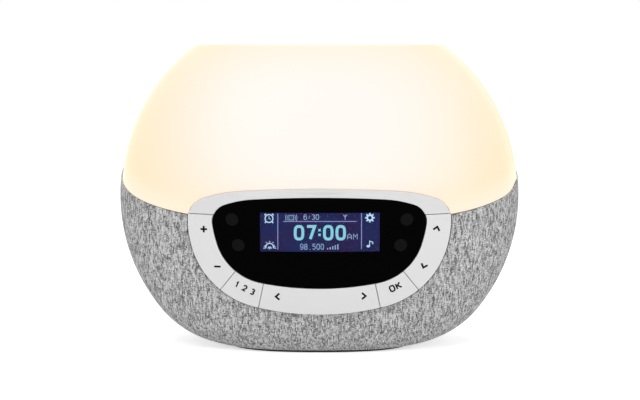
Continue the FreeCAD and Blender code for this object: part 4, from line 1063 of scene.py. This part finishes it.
@dataclass(frozen=True)
class Studio:
    """White backdrop, pale floor, soft lights, and a camera at the photograph's viewpoint.

    Attributes:
        distance: from the camera to the body's middle plane.
        eye_level: height of the camera, level with the dome's flat top.
        centre_level: the height at the middle of the picture.
        side_step: how far the camera stands to the right of the middle.
        lens: focal length in millimetres on a 36 mm wide sensor.
        ambient: strength of the soft light from all round.
        dark_front: brightness that gloss mirrors from the front.
        floor_lift, floor_glow: light added to the floor where it is looked at, and for soft light.
    """

    distance: float = 1.050
    eye_level: float = 0.16035
    centre_level: float = 0.07695
    side_step: float = 0.0003
    lens: float = 110.1
    lights: Tuple[SoftBox, ...] = (
        SoftBox("key_light", (-0.45, -1.1, 1.0), 0.9, 6.8),
        SoftBox("fill_light", (0.9, -0.9, 0.6), 0.9, 3.6),
        SoftBox("top_light", (0.0, 0.1, 1.3), 1.0, 4.2),
    )
    ambient: float = 0.55
    dark_front: float = 0.05
    floor_lift: float = 0.60
    floor_glow: float = 0.32

    def build(self) -> None:
        """Sets up the world, the floor, the lights and the camera."""
        self._world()
        self._floor()
        for light in self.lights:
            light.build()
        self._camera()
        scene = bpy.context.scene
        scene.view_settings.view_transform = "Standard"

    def _camera(self) -> None:
        """The camera stands level with the dome's flat top and looks a little down."""
        data = bpy.data.cameras.new("camera")
        data.lens = self.lens
        data.sensor_width = 36.0
        camera = bpy.data.objects.new("camera", data)
        camera.location = (self.side_step, -self.distance + BODY.shift, self.eye_level)
        aim = Vector((0.0, self.distance, self.centre_level - self.eye_level))
        camera.rotation_euler = aim.to_track_quat("-Z", "Y").to_euler()
        bpy.context.scene.collection.objects.link(camera)
        bpy.context.scene.camera = camera

    def _world(self) -> None:
        """White to the camera, plain soft light, and for gloss a white wall behind a dark front."""
        world = bpy.data.worlds.new("studio")
        bpy.context.scene.world = world
        world.use_nodes = True
        nodes = Nodes(world.node_tree)
        direction = nodes.node("ShaderNodeTexCoord").outputs["Generated"]
        forward = nodes.node("ShaderNodeSeparateXYZ", Vector=direction).outputs[1]
        behind = nodes.smooth_step(forward, -0.75, 0.25, self.dark_front)
        camera_ray = nodes.node("ShaderNodeLightPath").outputs["Is Camera Ray"]
        level = nodes.maths("MAXIMUM", camera_ray, behind)
        soft, white = (nodes.node("ShaderNodeBackground", Color=(1.0, 1.0, 1.0), Strength=strength)
                       for strength in (self.ambient, level))
        mixed = nodes.blend(looked_at(nodes), soft, white)
        nodes.node("ShaderNodeOutputWorld", Surface=mixed.outputs[0])

    def _floor(self) -> None:
        """A pale matt floor that shows the shadow, lifted to white wherever it is looked at."""
        corners = np.array([[-3, -3, 0], [3, -3, 0], [3, 3, 0], [-3, 3, 0]], float)
        floor = mesh_object("floor", corners, np.array([[0, 1, 2, 3]]), smooth=False)
        shader = Shader("floor")
        matt = shader.node("ShaderNodeBsdfDiffuse", Color=(0.80, 0.80, 0.80))
        lift = shader.times(looked_at(shader), self.floor_lift - self.floor_glow)
        glow = shader.node("ShaderNodeEmission", Color=(1.0, 1.0, 1.0),
                           Strength=shader.add(lift, self.floor_glow))
        both = shader.join("ShaderNodeAddShader", matt.outputs[0], glow.outputs[0])
        floor.data.materials.append(shader.finish(both))


class Clock:
    """Builds the object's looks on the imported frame."""

    def __init__(self, frame: dict) -> None:
        self.shop = PaintShop(frame)

    def build(self) -> None:
        """Paints the CAD nodes and adds the cover, the display's drawing and the legends."""
        self.shop.paint_nodes()
        self._cover()
        self._display()
        self._legends()

    def _cover(self) -> None:
        """The woven cover, which is shown in place of the CAD's plain one."""
        cover = WovenCover().build()
        self.shop.dress(cover, self.shop.material(Paint.FABRIC))
        self._hand_over(cover, "housing", "fabric")
        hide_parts("fabric_sleeve")

    def _display(self) -> None:
        """The lit drawing on the display, in four colours."""
        display = DisplayDrawing()
        parts = (
            ("display_digits", display.digits(), Glow((0.235, 0.62, 0.76))),
            ("display_rules", display.rules(), Glow((0.22, 0.27, 0.58))),
            ("display_text", display.small_text(), Glow((0.26, 0.43, 0.66))),
            ("display_icons", display.icons(), Glow((0.50, 0.74, 0.94))),
        )
        for name, drawing, glow in parts:
            piece = drawing.build(name, display.depth)
            self.shop.dress(piece, glow.material(name))
            self._hand_over(piece, "housing", "lcd_glass")

    def _legends(self) -> None:
        """The printed legends on the keys."""
        ink = Finish((0.002, 0.002, 0.0025), 0.6, specular=0.1).material("legend_ink")
        for legend in LEGENDS:
            piece = legend.build()
            self.shop.dress(piece, ink)
            self._hand_over(piece, legend.body, "chip_black")

    @staticmethod
    def _hand_over(piece: Piece, body: str, slot: str) -> None:
        """Makes a piece move with a CAD body and reports it."""
        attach(piece, body)
        LOG.info("%s: %d faces on %s", piece.name, len(piece.data.polygons), body)


def main() -> None:
    """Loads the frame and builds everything."""
    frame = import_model()
    Clock(frame).build()
    Studio().build()


if __name__ == "__main__":
    logging.basicConfig(level=logging.INFO)
    main()
